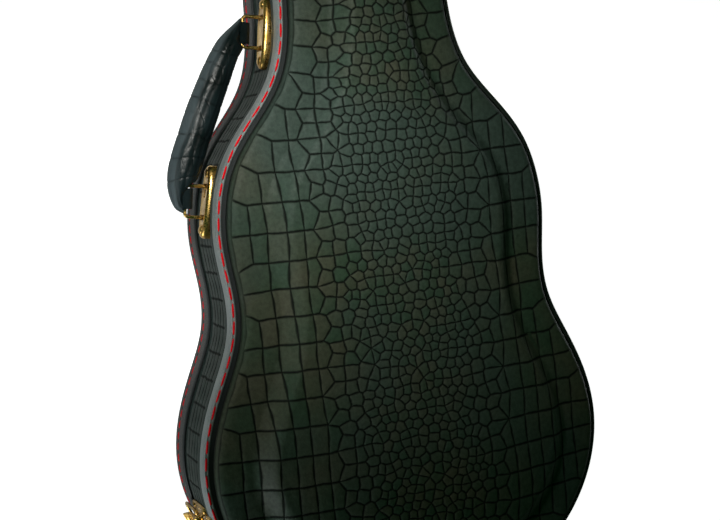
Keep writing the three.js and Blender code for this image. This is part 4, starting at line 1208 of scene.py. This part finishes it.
def makeGripTab(end, ring):
    # the tab that wraps a ring's bar: over the bar on the outside, then back under it
    low, high = handle["tabs"][end]
    at = [Vector(ring[0]) + Vector(ring[2]).normalized() * handle["reach"], ring[1], ring[2]]
    inner, outer = [], []
    for step in range(-14, 15):
        turn = math.radians(90 * max(-1, min(1, step / 8)))
        more = max(0.0, abs(step) - 8) * 0.4
        x, z = -math.cos(turn), math.sin(turn)
        for side, radius in ((outer, handle["tabOuter"]), (inner, handle["tabInner"])):
            side.append((radius * x + more, z * (radius + more * 0.16)))
    form, opposite = outer + inner[::-1], inner + outer[::-1]
    stations = [low, low + 0.25, low + 0.8] + [low + 0.8 + (high - low - 1.6) * s / 6 for s in range(1, 6)] \
        + [high - 0.8, high - 0.25, high]
    rings = []
    for n, a in enumerate(stations):
        shrink = {0: 0.4, 1: 0.12}.get(min(n, len(stations) - 1 - n), 0.0)
        wave = 0.06 * math.sin(n * 1.9)
        middle = [(Vector(p) + Vector(q)) / 2 for p, q in zip(form, opposite)]
        rings.append(along(at, [(a, p[0] + (m.x - p[0]) * shrink + wave, p[1] + (m.y - p[1]) * shrink)
                                for p, m in zip(form, middle)]))
    finish(sweepRings("gripTab" + end.title(), rings, "cap"), "gripLeather", "handle_grip", angle=60)


def makeGrip():
    lower, upper = (Vector(ring[0]) + Vector(ring[2]).normalized() * handle["reach"]
                    for ring in (ringLower, ringUpper))
    way = (upper - lower).normalized()
    at = [lower, way, Vector((-way.y, way.x, 0))]
    sections = smoothPath(handle["grip"], handle["steps"])
    sides = handle["sides"]
    run = runOf((sections[:, 0:2] + sections[:, 2:4]) / 2)
    rng = random.Random(5)
    phases = [rng.uniform(0, 6.28) for _ in range(25)]
    lines = []
    where = 16.0
    while where < run[-1] - 14:
        lines.append((where, rng.uniform(0.6, 1.0), rng.uniform(-0.8, 0.8)))
        where += handle["across"] * rng.uniform(0.8, 1.25)
    rings, creaseShade, outer = [], [], []
    for s, (ox, oy, ix, iy, tall, power) in zip(run, sections):
        centre = Vector(((ox + ix) / 2, (oy + iy) / 2, 0))
        axis = Vector(((ox - ix) / 2, (oy - iy) / 2, 0))
        ring = []
        for i in range(sides):
            t = 2 * math.pi * i / sides
            c, u = math.cos(t), math.sin(t)
            out = (axis.normalized() * c + Vector((0, 0, u))).normalized()
            depth, dark = gripRelief(s, t, min(s, run[-1] - s), lines, phases)
            skin = centre + axis * eased(c, power) + Vector((0, 0, tall * eased(u, power)))
            ring.append(skin + out * depth)
            creaseShade.append(dark)
            # painted sheen: how much of the lighter outer colour each point gets
            outer.append(max(0.0, min(1.0, (c + 0.09 * math.sin(s * 0.16) - 0.42) / 0.3)))
        rings.append(along(at, ring))
    made = sweepRings("gripLeatherBody", rings, "cap")
    # the values go on by place, because the sweep orders its points by itself
    tree = KDTree(len(rings) * sides)
    for n, p in enumerate(q for ring in rings for q in ring):
        tree.insert(p * mm, n)
    tree.balance()
    nearest = [tree.find(v.co)[1] for v in made.data.vertices]
    for key, numbers in (("creaseShade", creaseShade), ("outer", outer)):
        addValues(made.data, key, np.array(numbers, np.float32)[nearest])
    finish(made, "gripLeather", "handle_grip", "handle_grip")
    makeGripTab("lower", ringLower)
    makeGripTab("upper", ringUpper)


makeRing("handle_ring_upper", ringUpper)
makeRing("handle_ring_lower", ringLower)
makePlate("upper")
makePlate("lower")
makeGrip()
print("handle made")

# draw latches and hinges: a latch's parts are modelled once, then copied to every seat with their own mesh
latches = {
    "seats": {"tail": ((-124.5732, -43.0031, 66), (-0.3299563, 0.9439962, 0)),
              "neck": ((-52.5658, 362, 66), (-0.00314, 0.9999951, 0)), "head": ((0, 609.5, 66), (1, 0, 0))},
    "plate": (12, -33, -4, 3), "ear": (6.8, 8.0), "lever": (5.2, -10), "loop": (3.9, -17), "step": 1.5,
    "blade": ((0.15, 0), (0.15, -8), (0.2, -14.4), (1.2, -20.4), (4.0, -24)), "half": 6.5, "thick": 0.72,
    "wire": (9.4, 5.0, -24.6, 1.7, 1.0),
    "catch": (10, 3.2, 13.2, 2), "hookFrom": 6.0, "hookReach": 5.9,
}
rivetHead = {"radius": 2.0, "rise": 1.05}
hinges = {"seats": {"tail": (132.5772, 0, 66.15), "head": (65.0702, 540, 66.15)},
          "axis": (0.1240475, -0.9922763, 0), "half": 13, "knuckle": 1.8, "pin": 0.9, "head": 1.5,
          "start": 2.2, "base": 18, "lid": 7.4, "rivets": 8.5}


def roundRect(halfX, low, high, corner, steps=5):
    ring = []
    for cx, cz, start in ((halfX - corner, high - corner, 0), (corner - halfX, high - corner, 90),
                          (corner - halfX, low + corner, 180), (halfX - corner, low + corner, 270)):
        for k in range(steps + 1):
            turn = math.radians(start + 90 * k / steps)
            ring.append((cx + corner * math.cos(turn), cz + corner * math.sin(turn)))
    return ring


def pressed(name, halfX, low, high, corner, thick, base=0.0):
    # a sheet metal plate with rolled edges and a shallow pressed border
    rings = []
    top = base + thick
    for inset, y in ((0, base - 0.25), (0, base + thick * 0.72), (0.12, base + thick * 0.92), (0.36, top),
                     (1.15, top), (1.45, top - 0.22), (2.1, top - 0.24)):
        ring = roundRect(halfX - inset, low + inset, high - inset, max(corner - inset, 0.3))
        rings.append([(x, y, z) for x, z in ring])
    return sweepRings(name, rings, "cap")


def bar(name, outline_, low, high, edge=0.18):
    # an outline of (y, z) points drawn along x, its rims eased
    middle = np.mean(outline_, axis=0)
    rings = []
    for x, inset in ((low, edge), (low + edge, 0), (high - edge, 0), (high, edge)):
        ring = []
        for y, z in outline_:
            away = np.array([y, z]) - middle
            reach = max(np.linalg.norm(away), 1e-6)
            y2, z2 = middle + away * (reach - inset) / reach
            ring.append((x, y2, z2))
        rings.append(ring)
    return sweepRings(name, rings, "cap")


def rod(name, radius, low, high, at=(0, 0), sides=20, edge=0.15):
    turns = [2 * math.pi * k / sides for k in range(sides)]
    rings = []
    for x, r in ((low, radius - edge), (low + edge, radius), (high - edge, radius), (high, radius - edge)):
        rings.append([(x, at[0] + r * math.cos(t), at[1] + r * math.sin(t)) for t in turns])
    return sweepRings(name, rings, "cap")


def rivetAt(x, y, z):
    return dome((x, y, z), rivetHead["radius"], rivetHead["rise"])


def latchPlate():
    half, low, high, corner = latches["plate"]
    parts = [pressed("plate", half, low, high, corner, 1.2)]
    parts += [rivetAt(x, 1.05, z) for x in (-9, 9) for z in (-7, -30)]
    y, z = latches["lever"]
    turns = [math.pi * k / 10 for k in range(1, 10)]
    nose = [(y + 3 * math.sin(t), z - 3 * math.cos(t)) for t in turns]
    form = [(0.2, z - 3), (y, z - 3)] + nose + [(y, z + 3), (0.2, z + 3)]
    inner, outer = latches["ear"]
    parts += [bar("ear", form, start, start + outer - inner) for start in (inner, -outer)]
    return joined("latchPlate", *parts)


def latchLever():
    half, thick = latches["half"], latches["thick"]
    curve = smoothPath(latches["blade"], 6)
    ahead = np.gradient(curve, axis=0)
    ahead /= np.linalg.norm(ahead, axis=1)[:, None]
    across = np.column_stack([-ahead[:, 1], ahead[:, 0]])
    front, behind = curve + across * thick, curve - across * thick
    tip = [tuple(curve[-1] + ahead[-1] * 0.5)]
    form = [tuple(p) for p in front] + tip + [tuple(p) for p in behind[::-1]]
    blade = bar("blade", form, -half, half, 0.25)
    grips = [rod("rib", 0.35, -4.6, 4.6, tuple(front[k]), 8, 0.1) for k in (-3, -6, -9)]
    cheek = rounded([(-2.9, -10), (0, -10.6), (0.2, -3.4), (-1.2, -3.2), (-2.9, -4.4)], 0.9, 3)
    cheeks = [bar("cheek", cheek, low, low + 1.5) for low in (-half, half - 1.5)]
    heads = [dome((0, 0, 0), 1.75, 0.7) for _ in range(2)]
    for head, side in zip(heads, (-1, 1)):
        outwards = Matrix.Rotation(-side * math.pi / 2, 4, "Z")
        head.data.transform(Matrix.Translation((side * 8.15 * mm, 0, 0)) @ outwards)
    hub, pin = rod("hub", 2.7, -half, half), rod("pin", 1.2, -8.2, 8.2)
    return joined("latchLever", blade, hub, pin, *cheeks, *grips, *heads)


def latchLoop():
    half, inner, low, corner, radius = latches["wire"]
    right = [(inner, 0, 0), (half - corner - 1.5, 0, 0)]
    turns = [math.radians(15 * k) for k in range(7)]
    right += [(half - corner + corner * math.sin(t), 0, -corner + corner * math.cos(t)) for t in turns]
    right += [(half, 0, -6), (half, 0, -12), (half, 0, -18)]
    right += [(half - corner + corner * math.cos(t), 0, low + corner - corner * math.sin(t)) for t in turns]
    path = right + [(0, 0, low)] + [(-x, y, z) for x, y, z in reversed(right)]
    return tube("latchLoop", path, radius, 12, closed=False)


def latchCatch():
    half, low, high, corner = latches["catch"]
    under, reach = latches["hookFrom"], latches["hookReach"]
    hook = [(0.3, under - 1.2), (reach - 1.2, under - 1.2), (reach, under - 0.8), (reach + 0.1, under + 0.2),
            (reach - 0.4, under + 0.3), (reach - 1.2, under + 0.05), (2.4, under), (0.3, under + 0.5)]
    plate = pressed("plate", half, low, high, corner, 1.1)
    return joined("latchCatch", plate, bar("hook", rounded(hook, 0.4, 3), -6, 6),
                  *[rivetAt(x, 0.95, 10.2) for x in (-7, 7)])


def copyTo(model, name, at, body, node):
    made = model.copy()
    made.data = model.data.copy()
    made.name = made.data.name = name
    bpy.context.scene.collection.objects.link(made)
    placeOn(made, at)
    return finish(made, "brass", body, node, angle=40)


def makeLatches():
    models = {"plate": latchPlate(), "lever": latchLever(), "loop": latchLoop(), "catch": latchCatch()}
    shifts = {"plate": (0, 0), "lever": latches["lever"], "loop": latches["loop"],
              "catch": (latches["step"], 0)}
    for end, (place, direction) in latches["seats"].items():
        x = Vector(direction)
        out = Vector((-x.y, x.x, 0))
        for part, model in models.items():
            y, z = shifts[part]
            node = "latch_%s_%s" % (end, part)
            body = {"plate": "base", "catch": "lid"}.get(part, node)
            at = [Vector(place) + out * y + Vector((0, 0, z)), x, out]
            copyTo(model, "latch%s%s" % (end.title(), part.title()), at, body, node)
    for model in models.values():
        bpy.data.objects.remove(model)


def hingeLeaf(side, spans, deep):
    # a leaf with its knuckles, in the hinge's own frame: side is -1 on the base and 1 on the lid
    h = hinges
    half, long = h["half"], h["base" if side < 0 else "lid"]
    low, high = sorted((side * h["start"], side * (h["start"] + long)))
    parts = [pressed("leaf", half, low, high, 1.2, 1.0, -deep)]
    edge = high if side < 0 else low
    near, far = sorted((edge, edge + side))
    parts.append(block((-half, -deep, near), (half, -0.2, far), 0.2))
    near, far = sorted((side * 1.0, side * 2.7))
    span = 2 * half / 5
    for k in spans:
        start = -half + k * span + (0.15 if k else 0)
        end = start + span - (0.3 if 0 < k < 4 else 0.15)
        parts.append(rod("knuckle", h["knuckle"], start, end, (0, 0), 24))
        parts.append(block((start, -0.98, near), (end, 0.02, far), 0.1))
    middle = (low + high) / 2 + (0.9 if side > 0 else -1.0)
    parts += [rivetAt(s * h["rivets"], -deep + 0.85, middle) for s in (-1, 1)]
    if side < 0:
        parts.append(rivetAt(0, -deep + 0.85, middle - 4.5))
    return parts


def makeHinges():
    h = hinges
    x = Vector(h["axis"])
    out = Vector((-x.y, x.x, 0))
    half = h["half"] + 0.3
    for end, place in h["seats"].items():
        at = [place, x, out]
        near = np.abs((fineRim - np.array(place[:2])) @ np.array(x[:2])) < h["half"]
        for part, inset, side, spans, body in (("base_leaf", 1.5, -1, (0, 2, 4), "base"),
                                               ("lid_leaf", 0, 1, (1, 3), "lid")):
            wallAt = (fineRim + fineIn * inset)[near & (fineRim[:, 0] > 0)]
            deep = out.dot(Vector(place)) - float((wallAt @ np.array(out[:2])).max())
            name = "hinge%s%s" % (end.title(), part.split("_")[0].title())
            made = joined(name, *hingeLeaf(side, spans, deep))
            finish(placeOn(made, at), "brass", body, "hinge_%s_%s" % (end, part), angle=40)
        pin = joined("hinge%sPin" % end.title(), rod("pin", h["pin"], -half - 0.8, half + 0.8),
                     rod("pin", h["head"], half, half + 0.8, (0, 0), 20, 0.3),
                     rod("pin", h["head"], -half - 0.8, -half, (0, 0), 20, 0.3))
        finish(placeOn(pin, at), "brass", "base", "hinge_%s_pin" % end, angle=40)


makeLatches()
makeHinges()
print("hardware made")

# the lining
lining = {
    "liner": (7.8, 10.4, 9.3, 72), "side": (10.7, 16.7, 13.2, 66), "floor": (10.7, 9.3, 12.1),
    "crown": 1.5, "crownOver": 22, "lidEdge": 11.7, "underPanel": 5.6, "lidThick": 3.2, "ease": 3.0,
    "cradle": (37.06, 292, 312, 13.2, 58.2), "notch": (25, 19), "tab": (7, 7.9, 2.5),
    "voxel": 4.0, "most": 2.0, "pressure": 4.0, "frames": 20,
}


def puckered(made, amount, scale, seed=0.0):
    # a light unevenness of padded cloth
    for vert in made.data.vertices:
        p = vert.co / mm / scale
        n = math.sin(p.x * 1.3 + seed) * math.cos(p.y * 1.1 + seed) + math.sin(p.z * 1.7 + p.y * 0.6 + seed)
        vert.co += vert.normal * n * amount * mm * 0.5
    return made


def turnOutwards(made, merge=False):
    pick(made)
    bpy.ops.object.mode_set(mode="EDIT")
    bpy.ops.mesh.select_all(action="SELECT")
    if merge:
        bpy.ops.mesh.remove_doubles(threshold=1e-6)
    bpy.ops.mesh.normals_make_consistent(inside=False)
    bpy.ops.object.mode_set(mode="OBJECT")


def padSheet(name, edge, top, bottom, body, node, step=9):
    # a pad inside the outline between two surfaces, its rim rounded over
    ease = lining["ease"]
    y0, y1 = outline["y"]["tail"] + edge, outline["y"]["end"] - edge
    inner = []
    for iy in range(int((y1 - y0) / step)):
        for ix in range(-16, 17):
            p = (ix * step + (step / 2 if iy % 2 else 0), y0 + iy * step + step / 2)
            if abs(p[0]) > float(halfWidth(p[1])) - edge:
                continue
            if rimSpot(p)[1] > edge + ease + step * 0.55:
                inner.append(p)
    inner = np.array(inner)
    base, inward = rim[::2], rimIn[::2]
    n = len(base)
    rings = [(edge, 0.5), (edge + ease * 0.08, 0.78), (edge + ease * 0.3, 0.93), (edge + ease, 1.0)]
    points, faces = [], []
    for inset, share in rings + [(inset, 1 - share) for inset, share in reversed(rings)]:
        at = base + inward * inset
        points += [(x, y, l + (h - l) * share) for (x, y), h, l in zip(at, top(at), bottom(at))]
    for a, b in ((0, 1), (1, 2), (2, 3), (4, 5), (5, 6), (6, 7), (7, 0)):
        faces += ringFaces(range(a * n, a * n + n), range(b * n, b * n + n))
    for ring, surface in ((3, top), (4, bottom)):
        ids = list(range(ring * n, ring * n + n)) + list(range(len(points), len(points) + len(inner)))
        points += [(x, y, z) for (x, y), z in zip(inner, surface(inner))]
        plan = [Vector(points[i][:2]) for i in ids]
        edges = [(k, (k + 1) % n) for k in range(n)]
        _, _, tris, origin, _, _ = geometry.delaunay_2d_cdt(plan, edges, [], 1, 1e-7)
        where = [ids[o[0]] for o in origin]
        faces += [tuple(where[k] for k in (tri if surface is top else reversed(tri))) for tri in tris]
    made = meshFrom(name, points, faces)
    turnOutwards(made, merge=True)
    return finish(made, "plush", body, node)


def puff(made, held, size, most):
    # the cover is blown up over its foam: remeshed cloth, held where it is glued and kept near its start
    modify(made, "REMESH", mode="VOXEL", voxel_size=size * mm, use_smooth_shade=True)
    start = np.array([v.co for v in made.data.vertices])
    group = made.vertex_groups.new(name="held")
    group.add([v.index for v in made.data.vertices if held(v.co / mm)], 1.0, "REPLACE")
    pick(made)
    cloth = made.modifiers.new("cloth", "CLOTH")
    cloth.settings.quality = 8
    cloth.settings.use_pressure = True
    cloth.settings.uniform_pressure_force = lining["pressure"]
    cloth.settings.vertex_group_mass = "held"
    cloth.settings.effector_weights.gravity = 0
    cloth.collision_settings.use_self_collision = False
    for moment in range(1, lining["frames"] + 1):
        bpy.context.scene.frame_set(moment)
    shown = made.evaluated_get(bpy.context.evaluated_depsgraph_get()).to_mesh()
    move = np.array([v.co for v in shown.vertices]) - start
    move = np.nan_to_num(move, nan=0.0, posinf=0.0, neginf=0.0)
    far = np.linalg.norm(move, axis=1)
    print("cloth moved", round(float(far.max()) / mm, 2), "mm at most")
    move *= np.minimum(1, most * mm / np.maximum(far, 1e-9))[:, None]
    made.modifiers.remove(cloth)
    made.data.vertices.foreach_set("co", (start + move).ravel())
    made.data.update()
    bpy.context.scene.frame_set(1)
    modify(made, "SMOOTH", factor=0.5, iterations=3)
    modify(made, "SUBSURF", levels=1, render_levels=1)
    return made


def makeLiner():
    near, far, low, high = lining["liner"]
    form = rounded([(near, low), (near, high), (far, high), (far, low)], [0.3, 1.1, 1.1, 0.3], 4)
    finish(sweepRim("linerPlush", form), "plush", "base", "base_liner", angle=60)


def makePads():
    near, far, low, high = lining["side"]
    middle = (low + high) / 2
    bulge = [(near, low + 0.3), (near, high - 0.4), (near + 1.2, high), (far - 2.4, high - 0.2),
             (far - 0.6, high - 2.6), (far - 0.05, high - 12), (far, middle + 6), (far, middle - 8),
             (far - 0.3, low + 8), (far - 1.2, low + 2.4), (far - 2.6, low + 0.2), (near + 1.0, low)]
    side = puckered(sweepRim("sidePadding", rounded(bulge, 1.6, 3)), 0.35, 14.0)
    finish(side, "plush", "base", "side_padding")
    edge, bottom, top = lining["floor"]

    def floorTop(at):
        return top + lining["crown"] * np.clip((insetOf(at) - edge) / lining["crownOver"], 0, 1) ** 0.5

    def floorBottom(at):
        return np.full(len(at), bottom)

    def lidUnder(at):
        return archHeight(at, np.maximum(insetOf(at), heights["shelfInset"])) - lining["underPanel"]

    def lidInside(at):
        return lidUnder(at) - lining["lidThick"]

    floorPad = padSheet("floorPadding", edge + 0.1, floorTop, floorBottom, "base", "floor_padding")
    lidPad = padSheet("lidPadding", lining["lidEdge"], lidUnder, lidInside, "lid", "lid_padding")


def makeCradle():
    half, y0, y1, z0, z1 = lining["cradle"]
    wide, deep = lining["notch"]
    turns = [math.pi * k / 16 for k in range(17)]
    notch = [(wide * math.cos(t), z1 - deep * math.sin(t)) for t in turns]
    form = rounded([(half, z0), (half, z1)] + notch + [(-half, z1), (-half, z0)], 2.2, 3)
    rings = []
    for y, inset in ((y0, 1.2), (y0 + 0.5, 0.4), (y0 + 1.6, 0), (y1 - 1.6, 0), (y1 - 0.5, 0.4), (y1, 1.2)):
        ring = []
        for x, z in form:
            down = inset if wide > abs(x) and z0 < z < z1 else 0
            ring.append((x - math.copysign(min(abs(x), inset), x), y,
                         min(max(z, z0 + inset), z1 - inset * 0.6) - down))
        rings.append(ring)
    cradle = sweepRings("neckCradle", rings, "cap")
    puff(cradle, lambda p: p.z < z0 + 4 or abs(p.x) > half - 2, lining["voxel"], lining["most"])
    finish(cradle, "plush", "base", "neck_cradle")


def makeCompartment():
    for part, body in (("wall", "base"), ("lid", "compartment_lid")):
        node = "compartment_" + part
        low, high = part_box(node)
        made = block([v / mm for v in low], [v / mm for v in high], 0.7, 3)
        made.name = made.data.name = "compartment" + part.title()
        finish(made, "plush", body, node, angle=50)
    low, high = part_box("compartment_tab")
    half, tall, corner = lining["tab"]
    middle = (low.y + high.y) / 2 / mm
    rings = []
    under, over = low.z / mm, high.z / mm
    for inset, z in ((0.35, under), (0, under + 0.35), (0, over - 0.35), (0.35, over)):
        form = roundRect(half - inset, inset - tall, tall - inset, corner)
        rings.append([(x, middle + y, z) for x, y in form])
    tab = sweepRings("compartmentTab", rings, "cap")
    finish(tab, "gripLeather", "compartment_lid", "compartment_tab", angle=50)


makeLiner()
makePads()
makeCradle()
makeCompartment()
print("lining made")


backPanel = {"inset": 9.6, "edge": 0.25, "edgeCreaseShade": 0.15,
             "side": ((7.6, 0.9, 0.0), (6.5, 2.0, 0.0), (6.0, 3.2, 0.0), (6.0, 5.0, 0.0), (7.8, 5.2, 0.0),
                      (7.8, 8.9, 0.0))}


def makeBoards():
    # the lid's wooden frame, and the back with its pad
    low, high = heights["lid"], 79.5
    frameForm = rounded([(1.6, low), (7.5, low), (7.5, high), (1.6, high)], 0.3, 2)
    finish(sweepRim("lidFrame", frameForm), "lidBoard", "lid", "lid_frame", angle=50)
    _, flat, depth, creaseShade, tint, faces = scaleSheet(backPanel["inset"], {**scales, **scales["back"]})
    top = depth.max()
    points = [(x, y, top - d) for (x, y), d in zip(flat, depth)]
    loop = edgeLoop(faces)
    faces = [tuple(reversed(face)) for face in faces]
    # painted shade: the outer edge gets a little crease shade
    for i in loop:
        creaseShade[i] = backPanel["edgeCreaseShade"]
        points[i] = (flat[i][0], flat[i][1], backPanel["edge"])
    faces.append(tuple(addSide(points, creaseShade, tint, faces, loop, backPanel["side"])))
    made = meshFrom("backPanelScales", points, faces, {"creaseShade": creaseShade, "tint": tint})
    finish(made, "leatherette", "base", "back_panel")
    turnOutwards(made)


makeBoards()
print("boards made")

# lights and floor
warm, cool = (1.0, 0.99, 0.93), (0.92, 0.97, 1.0)
studio = {
    "key": {"place": (-180, 285, 360), "aim": (-28, 168, 90), "size": (120, 120), "power": 0.225,
            "spread": 62, "colour": warm},
    "side": {"place": (-745, -395, 80), "aim": (-110, 90, 50), "size": (320, 320), "power": 5.4,
             "spread": 180, "colour": cool},
    "neck": {"place": (-20, 520, 520), "aim": (0, 500, 80), "size": (120, 120), "power": 0.26,
             "spread": 52, "colour": warm},
    "right": {"place": (270, 250, 6), "aim": (130, 250, 60), "size": (620, 30), "power": 0.5,
              "spread": 180, "colour": cool},
    "world": 0.045, "tone": (0.12, 1.0, 0.25, 1), "floor": (0.8, 0.8, 0.8, 1), "floorSize": 9,
    "floorAt": -0.0006, "glow": 0.97, "glossy": 0.17,
}


def addLamp(name, place, aim, size, power, spread, colour):
    data = bpy.data.lights.new(name, "AREA")
    data.shape, data.size, data.size_y = "RECTANGLE", size[0] * mm, size[1] * mm
    data.energy, data.color, data.spread = power, colour, math.radians(spread)
    lamp = bpy.data.objects.new(name, data)
    away = (Vector(place) - Vector(aim)).normalized()
    turned = away.to_track_quat("Z", "Y").to_matrix().to_4x4()
    lamp.matrix_world = Matrix.Translation(Vector(place) * mm) @ turned
    lamp.visible_camera = False
    bpy.context.scene.collection.objects.link(lamp)


def addFloor():
    deselect()
    bpy.ops.mesh.primitive_plane_add(size=studio["floorSize"], location=(0, 0, studio["floorAt"]))
    floor = bpy.context.object
    floor.name = "floor"
    look = bpy.data.materials.new("floorWhite")
    look.use_nodes = True
    tree = look.node_tree
    shader = tree.nodes["Principled BSDF"]
    path = tree.nodes.new("ShaderNodeLightPath")
    camera, glossy, through = (Wire(tree, path.outputs["Is %s Ray" % kind])
                               for kind in ("Camera", "Glossy", "Transmission"))
    seen = (camera + glossy * studio["glossy"] + through).clamp()
    shader.inputs["Base Color"].default_value = studio["floor"]
    shader.inputs["Roughness"].default_value = 0.9
    shader.inputs["Specular IOR Level"].default_value = 0.0
    shader.inputs["Emission Color"].default_value = (1, 1, 1, 1)
    tree.links.new((seen * studio["glow"]).socket, shader.inputs["Emission Strength"])
    floor.data.materials.append(look)


def setWorld():
    world = bpy.data.worlds.new("studio")
    world.use_nodes = True
    tree = world.node_tree
    tone, white = tree.nodes["Background"], tree.nodes.new("ShaderNodeBackground")
    for sky, colour, power in ((tone, studio["tone"], studio["world"]),
                               (white, (1, 1, 1, 1), studio["glow"])):
        sky.inputs[0].default_value = colour
        sky.inputs[1].default_value = power
    path = tree.nodes.new("ShaderNodeLightPath")  # what the camera sees beyond the floor is white too
    either = tree.nodes.new("ShaderNodeMixShader")
    tree.links.new(path.outputs["Is Camera Ray"], either.inputs[0])
    tree.links.new(tone.outputs[0], either.inputs[1])
    tree.links.new(white.outputs[0], either.inputs[2])
    tree.links.new(either.outputs[0], tree.nodes["World Output"].inputs[0])
    bpy.context.scene.world = world


for lampName in ("key", "side", "neck", "right"):
    addLamp(lampName, **studio[lampName])
addFloor()
setWorld()
bpy.context.scene.view_settings.view_transform = "Standard"
